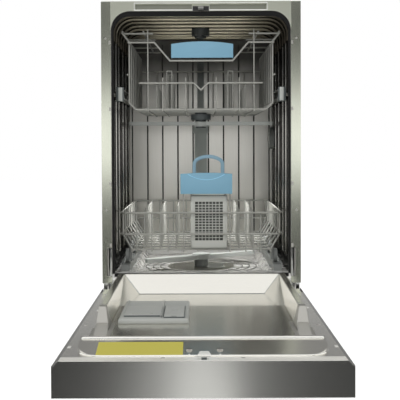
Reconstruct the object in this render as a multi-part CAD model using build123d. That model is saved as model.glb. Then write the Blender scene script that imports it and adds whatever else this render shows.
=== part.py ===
from build123d import *
import os
from math import atan2, degrees

# Slim built-in dishwasher, 45 cm wide, with its door lowered and both racks in.
# Millimetres. X is across the front, Y runs to the back, Z is up.
# The feet stand on Z = 0 and the box around the open machine is centred on X and Y.
# "depth" below is the distance behind the cabinet's front plane. On the lowered
# door it is negative, and "reach" is the same distance counted forward.

# Cabinet
WIDTH = 448.0
HEIGHT = 820.0
CABINET_DEPTH = 545.0
CASING_SHEET = 1.0
STRIP_BOTTOM = 186.0
SHEET_GAP = 0.3

# Door: the hinge pin lies in front of the cabinet, inside the door's thickness
DOOR_TOP = 815.0
DOOR_BOTTOM = 115.0
DOOR_THICKNESS = 55.0
DOOR_GAP = 1.0
HINGE_FORWARD = 27.0
HINGE_HEIGHT = 155.0
PANEL_SHEET = 1.0
LINER_SHEET = 1.2

# Tub
TUB_HALF = 201.0
CEILING_ROOM = 23.0
TUB_TOP = HEIGHT - CEILING_ROOM
TUB_CORNER = 42.0
TUB_SHEET = 1.2
TUB_DEPTH = 512.0
TUB_LIP = 207.5
PLINTH_TOP = 203.0
PLINTH_EDGE = 162.0
PAN_FLOOR = 190.0
HUB_DEPTH = 250.0

# Base
TRAY_BOTTOM = 24.0
TRAY_TOP = 98.0
TRAY_WALL = 3.0
TRAY_FRONT = 48.0
FOOT_DIAMETER = 44.0
FOOT_STUD = 10.0
THREAD_CLEARANCE = 0.1

# Wheels, rollers and rails
RUNNING_GAP = 0.3
PIN_CLEARANCE = 0.1
RAIL_TOP = 221.3
WHEEL_DIAMETER = 32.0
WHEEL_WIDTH = 8.0
WHEEL_X = 174.0
ROLLER_DIAMETER = 16.0
ROLLER_WIDTH = 7.0
RAIL_BELOW_CEILING = 183.0
UPPER_RAIL_HEIGHT = TUB_TOP - RAIL_BELOW_CEILING

# Racks
WIRE = 4.0
FILL_WIRE = 3.0
RACK_FRONT = 52.0
RACK_BACK = 470.0

# Worked out from the sizes above
FRONT_REACH = HINGE_FORWARD + DOOR_TOP - HINGE_HEIGHT
FRONT = (FRONT_REACH - CABINET_DEPTH) / 2
HINGE_END = HINGE_FORWARD - (HINGE_HEIGHT - DOOR_BOTTOM)
FLANGE_TOP = HINGE_HEIGHT + HINGE_FORWARD - DOOR_GAP
PANEL_BOTTOM = FLANGE_TOP - DOOR_THICKNESS
HALF_WIDTH = WIDTH / 2


def block(x, depth, z):
    """A box between two X, two depths and two heights."""
    return Pos(
        (x[0] + x[1]) / 2, FRONT + (depth[0] + depth[1]) / 2, (z[0] + z[1]) / 2
    ) * Box(abs(x[1] - x[0]), abs(depth[1] - depth[0]), abs(z[1] - z[0]))


def rod_x(x, depth, z, diameter):
    """A round bar along X between two X values."""
    place = Pos((x[0] + x[1]) / 2, FRONT + depth, z) * Rot(0, 90, 0)
    return place * Cylinder(diameter / 2, abs(x[1] - x[0]))


def rod_y(x, depth, z, diameter):
    """A round bar along Y between two depths."""
    place = Pos(x, FRONT + (depth[0] + depth[1]) / 2, z) * Rot(90, 0, 0)
    return place * Cylinder(diameter / 2, abs(depth[1] - depth[0]))


def rod_z(x, depth, z, diameter):
    """A round upright bar between two heights."""
    return Pos(x, FRONT + depth, (z[0] + z[1]) / 2) * Cylinder(
        diameter / 2, abs(z[1] - z[0])
    )


def across(points, x):
    """Extrude an outline of (depth, z) points along X between two X values."""
    face = make_face(Polyline(*[(0, FRONT + d, z) for d, z in points], close=True))
    return Pos(x[0], 0, 0) * extrude(face, x[1] - x[0], dir=(1, 0, 0))


def along(points, depth):
    """Extrude an outline of (x, z) points along Y between two depths."""
    face = make_face(Polyline(*[(x, 0, z) for x, z in points], close=True))
    return Pos(0, FRONT + depth[0], 0) * extrude(face, depth[1] - depth[0], dir=(0, 1, 0))


def both_sides(shape):
    """The shape and its mirror image across the middle, as one list."""
    return [shape, mirror(shape, about=Plane.YZ)]


def solids_of(shapes):
    """Every solid of a list of shapes, kept apart in one group."""
    found = []
    for shape in shapes:
        found.extend(shape.solids())
    return Compound(children=found)


def wire(points, diameter=WIRE, close=False):
    """A bent round wire of (x, depth, z) points, with eight flat sides."""
    path = Polyline(*[(x, FRONT + d, z) for x, d, z in points], close=close)
    first = path.edges()[0]
    start = first @ 0.5 if close else path @ 0
    tangent = first % 0.5 if close else path % 0
    sideways = Vector(0, 0, 1) if abs(tangent.Z) < 0.9 else Vector(1, 0, 0)
    plane = Plane(origin=start, x_dir=sideways, z_dir=tangent)
    section = plane * RegularPolygon(
        radius=diameter / 2, side_count=8, major_radius=False, rotation=22.5
    )
    return sweep(section, path=path, transition=Transition.RIGHT)


def tub_arch(half, top, bottom, corner):
    """The tub's opening as a flat face: an upright with two round top corners."""
    outline = Pos(0, (top + bottom - corner) / 2) * Rectangle(
        2 * half, top - bottom + corner
    )
    outline = fillet(outline.vertices().group_by(Axis.Y)[-1], corner)
    cut = Pos(0, bottom - corner) * Rectangle(4 * half, 2 * corner)
    return outline - cut


def arch_solid(half, top, bottom, corner, depth):
    """The tub's opening made solid between two depths."""
    face = Plane.XZ * tub_arch(half, top, bottom, corner)
    return Pos(0, FRONT + depth[1], 0) * extrude(face, depth[1] - depth[0])


parts = {}

# Base tray, with bosses for the feet and posts that carry the tub
FOOT_X = 188.0
FRONT_FOOT_DEPTH = 84.0
REAR_FOOT_DEPTH = 500.0
BOSS_DIAMETER = 22.0
BOSS_TOP = 66.0
TRAY_HALF = HALF_WIDTH - CASING_SHEET - SHEET_GAP
SPIGOT_LENGTH = 16.0
SPIGOT_ROOM = 0.5
TRAY_BACK = CABINET_DEPTH - SPIGOT_LENGTH - SPIGOT_ROOM
SPIGOT_NECK = 2.0
POST_X = (176.0, 200.0)
POST_FRONT = (60.0, 76.0)
POST_REAR = (488.0, 504.0)
FLOOR_UNDERSIDE = PLINTH_TOP - TUB_SHEET

feet_places = [
    (side * FOOT_X, depth) for depth in (FRONT_FOOT_DEPTH, REAR_FOOT_DEPTH) for side in (-1, 1)
]
tray = block((-TRAY_HALF, TRAY_HALF), (TRAY_FRONT, TRAY_BACK), (TRAY_BOTTOM, TRAY_TOP))
tray -= block(
    (-TRAY_HALF + TRAY_WALL, TRAY_HALF - TRAY_WALL),
    (TRAY_FRONT + TRAY_WALL, TRAY_BACK - TRAY_WALL),
    (TRAY_BOTTOM + TRAY_WALL, TRAY_TOP + TRAY_WALL),
)
for x, depth in feet_places:
    tray += rod_z(x, depth, (TRAY_BOTTOM, BOSS_TOP), BOSS_DIAMETER)
for depths in (POST_FRONT, POST_REAR):
    for side in (-1, 1):
        tray += block(
            (side * POST_X[0], side * POST_X[1]), depths, (TRAY_BOTTOM, FLOOR_UNDERSIDE)
        )
for x, depth in feet_places:
    tray -= rod_z(
        x, depth, (TRAY_BOTTOM - 1, BOSS_TOP + 1), FOOT_STUD + 2 * THREAD_CLEARANCE
    )
INLET_X = -150.0
INLET_Z = 62.0
INLET_HOLE = 32.0
DRAIN_X = 140.0
DRAIN_Z = 60.0
DRAIN_HOLE = 24.0
tray -= rod_y(INLET_X, (TRAY_BACK - 10, TRAY_BACK + 10), INLET_Z, INLET_HOLE)
tray -= rod_y(DRAIN_X, (TRAY_BACK - 10, TRAY_BACK + 10), DRAIN_Z, DRAIN_HOLE)
parts["base_tray"] = tray

# Toe kick in front of the tray, with its two side screws and an air slot
KICK_SHEET = 1.5
KICK_BOTTOM = 12.0
KICK_LIP = 10.0
kick = block(
    (-TRAY_HALF, TRAY_HALF), (TRAY_FRONT - KICK_SHEET, TRAY_FRONT), (KICK_BOTTOM, TRAY_TOP)
)
kick += block(
    (-TRAY_HALF, TRAY_HALF),
    (TRAY_FRONT - KICK_SHEET, TRAY_FRONT + KICK_LIP),
    (KICK_BOTTOM, KICK_BOTTOM + KICK_SHEET),
)
for x in (-60, -20, 20, 60):
    kick -= block((x - 15, x + 15), (TRAY_FRONT - 5, TRAY_FRONT), (38, 42))
for side in (-1, 1):
    kick += rod_y(side * 200, (TRAY_FRONT - KICK_SHEET - 2, TRAY_FRONT), 80, 9)
parts["toe_kick"] = kick

# Levelling feet: the front pair screws in and out, the rear pair is a plain glide
FOOT_PAD_HEIGHT = 9.0


def foot(x, depth):
    pad = rod_z(x, depth, (0, FOOT_PAD_HEIGHT), FOOT_DIAMETER)
    nut = Pos(x, FRONT + depth, FOOT_PAD_HEIGHT) * extrude(RegularPolygon(9, 6), 8)
    stud = rod_z(x, depth, (FOOT_PAD_HEIGHT, BOSS_TOP - 4), FOOT_STUD)
    return pad + nut + stud


parts["foot_front_left"] = foot(-FOOT_X, FRONT_FOOT_DEPTH)
parts["foot_front_right"] = foot(FOOT_X, FRONT_FOOT_DEPTH)
parts["feet_rear"] = solids_of(
    [foot(-FOOT_X, REAR_FOOT_DEPTH), foot(FOOT_X, REAR_FOOT_DEPTH)]
)

# Tub: a bent sheet for sides and ceiling, a back and a pressed floor
RIB_WIDTH = 5.0
RIB_DEPTH = 0.6
ROLLER_FRONT_DEPTH = 60.0
ROLLER_REAR_DEPTH = 240.0
ROLLER_PIN = 5.0
wrap = arch_solid(
    TUB_HALF + TUB_SHEET, TUB_TOP + TUB_SHEET, PLINTH_TOP,
    TUB_CORNER + TUB_SHEET, (0, TUB_DEPTH),
)
wrap -= arch_solid(TUB_HALF, TUB_TOP, PLINTH_TOP - 1, TUB_CORNER, (-1, TUB_DEPTH + 1))
CEILING_RIBS = [110 + 60 * i for i in range(6)]
for depth in CEILING_RIBS:
    wrap -= block(
        (-150, 150), (depth, depth + RIB_WIDTH), (TUB_TOP - 1, TUB_TOP + RIB_DEPTH)
    )
for side in (-1, 1):
    for depth in (90, 150, 210, 330, 390):
        wrap -= block(
            (side * (TUB_HALF - 1), side * (TUB_HALF + RIB_DEPTH)),
            (depth, depth + RIB_WIDTH), (240, UPPER_RAIL_HEIGHT - 54),
        )
    for depth in (ROLLER_FRONT_DEPTH, ROLLER_REAR_DEPTH):
        wrap -= rod_x(
            (side * (TUB_HALF - 2), side * (TUB_HALF + 4)), depth, UPPER_RAIL_HEIGHT, ROLLER_PIN
        )
VENT_DEPTH = 445.0
VENT_HEIGHT = 515.0
VENT_NECK = 40.0
VENT_CAP = 60.0
wrap -= rod_x((TUB_HALF - 2, TUB_HALF + 4), VENT_DEPTH, VENT_HEIGHT, VENT_NECK)
parts["tub_wrap"] = wrap

back = arch_solid(
    TUB_HALF + TUB_SHEET, TUB_TOP + TUB_SHEET, PLINTH_TOP,
    TUB_CORNER + TUB_SHEET, (TUB_DEPTH, TUB_DEPTH + TUB_SHEET),
)
BACK_RIBS = (-150, -108, -65, -22, 22, 65, 108, 150)
for x in BACK_RIBS:
    back -= block(
        (x - 1.5, x + 1.5), (TUB_DEPTH - 1, TUB_DEPTH + RIB_DEPTH), (230, TUB_TOP - 37)
    )
parts["tub_back"] = back

SUMP_DIAMETER = 170.0
LOWER_ARM_HEIGHT = 209.0
ARM_BORE = 20.0
LIP_BACK = 44.0
FLOOR_SLOPE = 15.0


def floor_form(drop):
    """The pressed floor's upper surface as a solid, lowered by drop."""
    shape = block(
        (-TUB_HALF, TUB_HALF), (LIP_BACK, TUB_DEPTH), (PAN_FLOOR - 20 - drop, PLINTH_TOP - drop)
    )
    shape += block(
        (-TUB_HALF, TUB_HALF), (0, LIP_BACK), (PAN_FLOOR - 20 - drop, TUB_LIP - drop)
    )
    top = Pos(0, FRONT + (LIP_BACK + 500) / 2, TUB_LIP - drop) * Rectangle(
        2 * PLINTH_EDGE, 500 - LIP_BACK
    )
    bottom = Pos(0, FRONT + (LIP_BACK + 500) / 2, PAN_FLOOR - drop) * Rectangle(
        2 * (PLINTH_EDGE - FLOOR_SLOPE), 500 - LIP_BACK - 2 * FLOOR_SLOPE
    )
    return shape - loft([bottom, top])


tub_floor = floor_form(0) - floor_form(TUB_SHEET)
tub_floor &= block((-TUB_HALF, TUB_HALF), (0, TUB_DEPTH), (PAN_FLOOR - TUB_SHEET, TUB_LIP))
tub_floor += block((-TUB_HALF, TUB_HALF), (0, TUB_SHEET), (STRIP_BOTTOM + 8, TUB_LIP))
for side in (-1, 1):
    tub_floor += block(
        (side * (PLINTH_EDGE - 0.1), side * TUB_HALF), (LIP_BACK - TUB_SHEET, LIP_BACK),
        (PLINTH_TOP - TUB_SHEET, TUB_LIP),
    )
tub_floor -= rod_z(0, HUB_DEPTH, (PAN_FLOOR - 10, TUB_LIP), SUMP_DIAMETER)
parts["tub_floor"] = tub_floor

# Outer casing: side sheets with the front returns and the hinge slots in them
SLOT_X = (202.2, 214.0)
SLOT_Z = (202.0, 266.0)
SWING_DEPTH = 27.0
REAR_RETURN = 11.0


def casing(side):
    sheet = block(
        (side * (HALF_WIDTH - CASING_SHEET), side * HALF_WIDTH),
        (TRAY_FRONT, CABINET_DEPTH), (TRAY_BOTTOM, TRAY_TOP),
    )
    sheet += block(
        (side * (HALF_WIDTH - CASING_SHEET), side * HALF_WIDTH),
        (SWING_DEPTH, CABINET_DEPTH), (TRAY_TOP, STRIP_BOTTOM),
    )
    sheet += block(
        (side * (HALF_WIDTH - CASING_SHEET), side * HALF_WIDTH),
        (0, CABINET_DEPTH), (STRIP_BOTTOM, HEIGHT - CASING_SHEET),
    )
    sheet += block(
        (side * (TUB_HALF + TUB_SHEET), side * HALF_WIDTH),
        (0, CASING_SHEET), (STRIP_BOTTOM, HEIGHT - CASING_SHEET),
    )
    sheet += block(
        (side * (HALF_WIDTH - REAR_RETURN), side * HALF_WIDTH),
        (CABINET_DEPTH - CASING_SHEET, CABINET_DEPTH), (TRAY_TOP, HEIGHT - 30),
    )
    sheet -= block(
        (side * (TUB_HALF + TUB_SHEET - 1), side * SLOT_X[1]), (-1, CASING_SHEET + 1), SLOT_Z
    )
    return sheet


parts["casing_left"] = casing(-1)
parts["casing_right"] = casing(1)

# Top rail between the casings, with its long recess and the latch window
RAIL_RECESS_X = 148.0
LATCH_Z = HEIGHT - 16.8
LATCH_BELOW = 4.7
LATCH_ABOVE = 5.5
RAIL_RECESS_Z = (HEIGHT - 19.0, HEIGHT - 5.5)
LATCH_HALF = 19.0
TAB_X = 160.0
TAB_HOLE = 5.0
TAB_DEPTH = 20.0
inner_casing = HALF_WIDTH - CASING_SHEET
top_rail = block((-inner_casing, inner_casing), (CASING_SHEET, 60), (HEIGHT - 1.5, HEIGHT))
top_rail += block(
    (-inner_casing, inner_casing), (0, CASING_SHEET), (HEIGHT - CASING_SHEET, HEIGHT)
)
face = block(
    (-TUB_HALF - TUB_SHEET, TUB_HALF + TUB_SHEET), (0, CASING_SHEET),
    (TUB_TOP - TUB_CORNER, HEIGHT),
)
face -= arch_solid(
    TUB_HALF + TUB_SHEET, TUB_TOP + TUB_SHEET, TUB_TOP - 2 * TUB_CORNER,
    TUB_CORNER + TUB_SHEET, (-1, CASING_SHEET + 1),
)
top_rail += face
top_rail -= block(
    (-RAIL_RECESS_X, RAIL_RECESS_X), (-1, CASING_SHEET), RAIL_RECESS_Z
)
top_rail += block(
    (-RAIL_RECESS_X - 1, RAIL_RECESS_X + 1), (7, 8), (RAIL_RECESS_Z[0] - 1, HEIGHT)
)
for z in (RAIL_RECESS_Z[0] - 1, RAIL_RECESS_Z[1]):
    top_rail += block((-RAIL_RECESS_X - 1, RAIL_RECESS_X + 1), (0, 8), (z, z + 1))
top_rail -= block(
    (-LATCH_HALF, LATCH_HALF), (-1, 9),
    (LATCH_Z - LATCH_BELOW - SHEET_GAP, LATCH_Z + LATCH_ABOVE + SHEET_GAP),
)
for side in (-1, 1):
    top_rail -= rod_z(side * TAB_X, TAB_DEPTH, (HEIGHT - 5, HEIGHT + 5), TAB_HOLE)
rear_rail = block(
    (-inner_casing, inner_casing), (CABINET_DEPTH - 22, CABINET_DEPTH), (HEIGHT - 1.5, HEIGHT)
)
rear_rail += block(
    (-inner_casing, inner_casing), (CABINET_DEPTH - 1.5, CABINET_DEPTH), (HEIGHT - 26, HEIGHT)
)
parts["top_rails"] = solids_of([top_rail, rear_rail])

# Door gasket round the opening, and the lip seal along the tub's front edge
GASKET_SIDE = 4.5
GASKET_TOP = 10.0
GASKET_CORNER = 36.0
GASKET_FRONT = 1.5
GASKET_DEPTH = 10.0
seal_u = arch_solid(TUB_HALF, TUB_TOP, TUB_LIP + 1, TUB_CORNER, (GASKET_FRONT, GASKET_DEPTH))
seal_u -= arch_solid(
    TUB_HALF - GASKET_SIDE, TUB_TOP - GASKET_TOP, TUB_LIP, GASKET_CORNER, (0, GASKET_DEPTH + 1)
)
lip_seal = across(
    [(-0.6, TUB_LIP - 6), (0, TUB_LIP - 7), (0, TUB_LIP), (4, TUB_LIP), (4, TUB_LIP + 1),
     (-0.6, TUB_LIP + 1)],
    (-TUB_HALF + GASKET_SIDE, TUB_HALF - GASKET_SIDE),
)
parts["door_gasket"] = solids_of([seal_u, lip_seal])

# Small fasteners of the front: tub clips, casing rivets and the roller pins
CLIP_HEIGHTS = (272, 411, 579, 728)
RIVET_HEIGHTS = (351, 737)
PROUD = 0.8
small = []
for side in (-1, 1):
    for z in CLIP_HEIGHTS:
        small.append(
            block((side * (TUB_HALF + TUB_SHEET + 0.2), side * 207), (-PROUD, 0), (z - 4, z + 4))
        )
    for z in RIVET_HEIGHTS:
        small.append(rod_y(side * 214, (-PROUD, 0), z, 5))
    for depth in (ROLLER_FRONT_DEPTH, ROLLER_REAR_DEPTH):
        pin = rod_x((side * 188.4, side * (TUB_HALF + 4)), depth, UPPER_RAIL_HEIGHT, ROLLER_PIN)
        for ends in ((188.4, 190.2), (196.8, TUB_HALF), (TUB_HALF + TUB_SHEET, TUB_HALF + 4)):
            pin += rod_x((side * ends[0], side * ends[1]), depth, UPPER_RAIL_HEIGHT, 9)
        small.append(pin)
parts["tub_fasteners"] = solids_of(small)

# Sound felt over the tub, from above the hinges up, and down its back
FELT = 6.0
FELT_BOTTOM = 320.0
outer_half = TUB_HALF + TUB_SHEET
felt = arch_solid(
    outer_half + FELT, TUB_TOP + TUB_SHEET + FELT, FELT_BOTTOM, TUB_CORNER + FELT, (70, TUB_DEPTH)
)
felt -= arch_solid(
    outer_half, TUB_TOP + TUB_SHEET, FELT_BOTTOM - 1, TUB_CORNER + TUB_SHEET, (69, TUB_DEPTH + 1)
)
AIR_BREAK_DEPTH = (330.0, 485.0)
AIR_BREAK_Z = (330.0, 640.0)
felt -= block((outer_half - 1, HALF_WIDTH), (AIR_BREAK_DEPTH[0] - 4, TUB_DEPTH + 1),
              (FELT_BOTTOM - 1, AIR_BREAK_Z[1] + 4))
for side in (-1, 1):
    felt -= rod_x((side * outer_half, side * HALF_WIDTH), ROLLER_REAR_DEPTH, UPPER_RAIL_HEIGHT, 14)
felt_back = block(
    (-outer_half + 20, outer_half - 20),
    (TUB_DEPTH + TUB_SHEET, TUB_DEPTH + TUB_SHEET + FELT), (230, TUB_TOP - 25),
)
parts["sound_felt"] = solids_of([felt, felt_back])

# Door latch in the top rail and its sprung tongue
TONGUE_HALF = 6.0
TONGUE_HEIGHT = 5.0
TONGUE_REACH = 14.0
LATCH_BACK = 46.0
latch = block(
    (-LATCH_HALF + 0.5, LATCH_HALF - 0.5), (0.5, LATCH_BACK),
    (LATCH_Z - LATCH_BELOW, LATCH_Z + LATCH_ABOVE),
)
latch -= block(
    (-TONGUE_HALF - 0.3, TONGUE_HALF + 0.3), (-1, LATCH_BACK - 8),
    (LATCH_Z - TONGUE_HEIGHT / 2 - 0.3, LATCH_Z + TONGUE_HEIGHT / 2 + 0.3),
)
parts["latch_housing"] = latch
TONGUE_TAIL = 20.0
tongue = across(
    [(-TONGUE_REACH, LATCH_Z - 0.5), (-TONGUE_REACH + 5, LATCH_Z - TONGUE_HEIGHT / 2),
     (TONGUE_TAIL, LATCH_Z - TONGUE_HEIGHT / 2), (TONGUE_TAIL, LATCH_Z + TONGUE_HEIGHT / 2),
     (-TONGUE_REACH, LATCH_Z + TONGUE_HEIGHT / 2)],
    (-TONGUE_HALF, TONGUE_HALF),
)
parts["latch_tongue"] = tongue

# Hinge brackets on the cabinet, each with its fixed pin, and the balance springs
ARM_SHEET = 3.0
ARM_X = (205.0, 208.0)
BRACKET_X = (210.0, 212.5)
HINGE_PIN = 8.0
NECK = 12.0
BRACKET_BACK = 40.0
bracket_outline = [
    (-HINGE_FORWARD - NECK, HINGE_HEIGHT - NECK + 4), (-HINGE_FORWARD - NECK + 4, HINGE_HEIGHT - NECK),
    (14, HINGE_HEIGHT - NECK), (BRACKET_BACK, 122), (BRACKET_BACK, 290), (4, 290),
    (4, 180), (-4, HINGE_HEIGHT + NECK), (-HINGE_FORWARD - NECK + 4, HINGE_HEIGHT + NECK),
    (-HINGE_FORWARD - NECK, HINGE_HEIGHT + NECK - 4),
]
brackets = []
springs = []
for side in (-1, 1):
    plate = across(bracket_outline, sorted((side * BRACKET_X[0], side * BRACKET_X[1])))
    plate += block(
        sorted((side * BRACKET_X[0], side * (HALF_WIDTH - CASING_SHEET))),
        (BRACKET_BACK - 2.5, BRACKET_BACK), (190, 290),
    )
    for z in (212, 232, 252):
        plate -= rod_x(
            (side * (BRACKET_X[0] - 1), side * (BRACKET_X[1] + 1)), 20, z, 10
        )
    plate += rod_x(
        (side * (ARM_X[0] - 2), side * BRACKET_X[1]), -HINGE_FORWARD, HINGE_HEIGHT, HINGE_PIN
    )
    brackets.append(plate)
    coil = rod_x(
        (side * (BRACKET_X[1] + 0.4), side * (BRACKET_X[1] + 7)), -HINGE_FORWARD, HINGE_HEIGHT, 19
    )
    brackets_pin = rod_x(
        (side * BRACKET_X[1], side * (BRACKET_X[1] + 7.5)), -HINGE_FORWARD, HINGE_HEIGHT, HINGE_PIN
    )
    brackets[-1] += brackets_pin
    coil -= rod_x(
        (side * BRACKET_X[1], side * (BRACKET_X[1] + 8)), -HINGE_FORWARD, HINGE_HEIGHT, HINGE_PIN + 1
    )
    springs.append(coil)
parts["hinge_brackets_and_springs"] = solids_of(brackets + springs)

# Telescopic rails of the upper rack: a web with a channel on each side of it
RAIL_WEB = (186.0, 187.5)
RAIL_OUTER = TUB_HALF - GASKET_SIDE - 1.0
RAIL_INNER = 176.0
RAIL_INSIDE = ROLLER_DIAMETER + 2 * RUNNING_GAP
RAIL_FLANGE = 1.5
RAIL_START = 46.0
RAIL_LENGTH = 430.0
rail_half = RAIL_INSIDE / 2
rail_section = [
    (RAIL_INNER, UPPER_RAIL_HEIGHT + rail_half + RAIL_FLANGE),
    (RAIL_INNER, UPPER_RAIL_HEIGHT + rail_half),
    (RAIL_WEB[0], UPPER_RAIL_HEIGHT + rail_half),
    (RAIL_WEB[0], UPPER_RAIL_HEIGHT - rail_half),
    (RAIL_INNER, UPPER_RAIL_HEIGHT - rail_half),
    (RAIL_INNER, UPPER_RAIL_HEIGHT - rail_half - RAIL_FLANGE),
    (RAIL_OUTER, UPPER_RAIL_HEIGHT - rail_half - RAIL_FLANGE),
    (RAIL_OUTER, UPPER_RAIL_HEIGHT - rail_half),
    (RAIL_WEB[1], UPPER_RAIL_HEIGHT - rail_half),
    (RAIL_WEB[1], UPPER_RAIL_HEIGHT + rail_half),
    (RAIL_OUTER, UPPER_RAIL_HEIGHT + rail_half),
    (RAIL_OUTER, UPPER_RAIL_HEIGHT + rail_half + RAIL_FLANGE),
]
upper_rail = along(rail_section, (RAIL_START, RAIL_START + RAIL_LENGTH))
parts["upper_rails"] = solids_of(both_sides(upper_rail))
CAP_HALF = 17.0
cap = block(
    (RAIL_INNER + 1, RAIL_OUTER - 1), (RAIL_START - 5, RAIL_START),
    (UPPER_RAIL_HEIGHT - CAP_HALF, UPPER_RAIL_HEIGHT + CAP_HALF),
)
cap += block(
    (RAIL_INNER + 1, RAIL_WEB[0]), (RAIL_START, RAIL_START + 3),
    (UPPER_RAIL_HEIGHT - rail_half, UPPER_RAIL_HEIGHT + rail_half),
)
cap = chamfer(cap.edges().filter_by(Axis.X).group_by(Axis.Y)[0], 2)
parts["rail_end_caps"] = solids_of(both_sides(cap))


def roller(depth, x, diameter, width, bore, height):
    """A pair of rollers on the same line, one at each side."""
    made = []
    for side in (-1, 1):
        wheel = rod_x((side * x, side * (x + width)), depth, height, diameter)
        wheel -= rod_x((side * (x - 1), side * (x + width + 1)), depth, height, bore)
        made.append(wheel)
    return made


TUB_ROLLER_X = RAIL_WEB[1] + 1.0
TUB_PIN_BORE = ROLLER_PIN + 2 * PIN_CLEARANCE
parts["tub_rollers_front"] = solids_of(
    roller(ROLLER_FRONT_DEPTH, TUB_ROLLER_X + 2, ROLLER_DIAMETER, ROLLER_WIDTH - 1,
           TUB_PIN_BORE, UPPER_RAIL_HEIGHT)
)
parts["tub_rollers_rear"] = solids_of(
    roller(ROLLER_REAR_DEPTH, TUB_ROLLER_X + 2, ROLLER_DIAMETER, ROLLER_WIDTH - 1,
           TUB_PIN_BORE, UPPER_RAIL_HEIGHT)
)

# Wheel guides of the lower rack on the tub floor's plinths
GUIDE_X = (166.0, 186.0)
GUIDE_DEPTH = (45.0, 500.0)
guide_section = [
    (GUIDE_X[0], PLINTH_TOP), (GUIDE_X[0] + 2, PLINTH_TOP), (GUIDE_X[0] + 2, RAIL_TOP - 2),
    (GUIDE_X[1] - 2, RAIL_TOP - 2), (GUIDE_X[1] - 2, PLINTH_TOP), (GUIDE_X[1], PLINTH_TOP),
    (GUIDE_X[1], RAIL_TOP + 5), (GUIDE_X[1] - 2, RAIL_TOP + 5), (GUIDE_X[1] - 2, RAIL_TOP),
    (GUIDE_X[0], RAIL_TOP),
]
guide = along(guide_section, GUIDE_DEPTH)
guide += block(GUIDE_X, (GUIDE_DEPTH[0], GUIDE_DEPTH[0] + 3), (PLINTH_TOP, RAIL_TOP))
parts["lower_rack_guides"] = solids_of(both_sides(guide))

# Sump with its well, drain spigot and pump sockets
SUMP_TOP = PAN_FLOOR - TUB_SHEET
SUMP_FLANGE = 186.0
SUMP_WALL = 3.0
WELL_DIAMETER = 150.0
WELL_BOTTOM = 118.0
sump = rod_z(0, HUB_DEPTH, (SUMP_TOP - 4, SUMP_TOP), SUMP_FLANGE)
sump += rod_z(0, HUB_DEPTH, (WELL_BOTTOM, SUMP_TOP), WELL_DIAMETER)
sump -= rod_z(0, HUB_DEPTH, (WELL_BOTTOM + SUMP_WALL, SUMP_TOP + 1), WELL_DIAMETER - 2 * SUMP_WALL)
PILLAR = 34.0
sump += rod_z(0, HUB_DEPTH, (WELL_BOTTOM, LOWER_ARM_HEIGHT - RUNNING_GAP), PILLAR)
sump += rod_z(0, HUB_DEPTH, (WELL_BOTTOM, LOWER_ARM_HEIGHT + 7), ARM_BORE)
PUMP_AXIS_Z = 142.0
sump -= rod_y(0, (HUB_DEPTH + 60, HUB_DEPTH + 90), PUMP_AXIS_Z, 30)
sump += rod_y(0, (HUB_DEPTH + WELL_DIAMETER / 2 - 3, HUB_DEPTH + 95), PUMP_AXIS_Z, 34)
sump -= rod_y(0, (HUB_DEPTH + 60, HUB_DEPTH + 96), PUMP_AXIS_Z, 28)
sump += rod_x((WELL_DIAMETER / 2 - 3, 96), HUB_DEPTH, PUMP_AXIS_Z - 6, 30)
sump -= rod_x((WELL_DIAMETER / 2 - 8, 97), HUB_DEPTH, PUMP_AXIS_Z - 6, 24)
parts["sump"] = sump

# Filters: a round fine plate in the floor, and the lift-out coarse cup in it
FILTER_DIAMETER = SUMP_DIAMETER - 0.6
FILTER_X = 36.0
FILTER_DEPTH = HUB_DEPTH - 20
CUP_DIAMETER = 42.0
CUP_CLEARANCE = 0.3
plate = rod_z(0, HUB_DEPTH, (SUMP_TOP, SUMP_TOP + 1.5), FILTER_DIAMETER)
plate -= rod_z(0, HUB_DEPTH, (SUMP_TOP - 1, SUMP_TOP + 3), PILLAR + 0.6)
plate -= rod_z(FILTER_X, FILTER_DEPTH, (SUMP_TOP - 1, SUMP_TOP + 3), CUP_DIAMETER + 2 * CUP_CLEARANCE)
parts["fine_filter"] = plate
cup = rod_z(FILTER_X, FILTER_DEPTH, (WELL_BOTTOM + SUMP_WALL + 0.5, SUMP_TOP + 2), CUP_DIAMETER)
cup += rod_z(FILTER_X, FILTER_DEPTH, (SUMP_TOP + 1.8, SUMP_TOP + 4), CUP_DIAMETER + 4)
cup -= rod_z(FILTER_X, FILTER_DEPTH, (WELL_BOTTOM + SUMP_WALL + 2.5, SUMP_TOP + 5), CUP_DIAMETER - 4)
cup += block((FILTER_X - 19.5, FILTER_X + 19.5), (FILTER_DEPTH - 2, FILTER_DEPTH + 2),
             (SUMP_TOP - 4, SUMP_TOP + 11))
parts["coarse_filter"] = cup

# Circulation pump with its flow heater housing, behind the sump
PUMP_FRONT = HUB_DEPTH + 95.3
pump = rod_y(0, (PUMP_FRONT, PUMP_FRONT + 40), PUMP_AXIS_Z, 90)
pump += rod_y(0, (PUMP_FRONT + 40, PUMP_FRONT + 115), PUMP_AXIS_Z, 78)
pump += rod_y(0, (PUMP_FRONT + 115, PUMP_FRONT + 122), PUMP_AXIS_Z, 40)
pump += block((-30, 30), (PUMP_FRONT + 50, PUMP_FRONT + 100), (TRAY_BOTTOM + TRAY_WALL, PUMP_AXIS_Z))
parts["circulation_pump"] = pump

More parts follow.
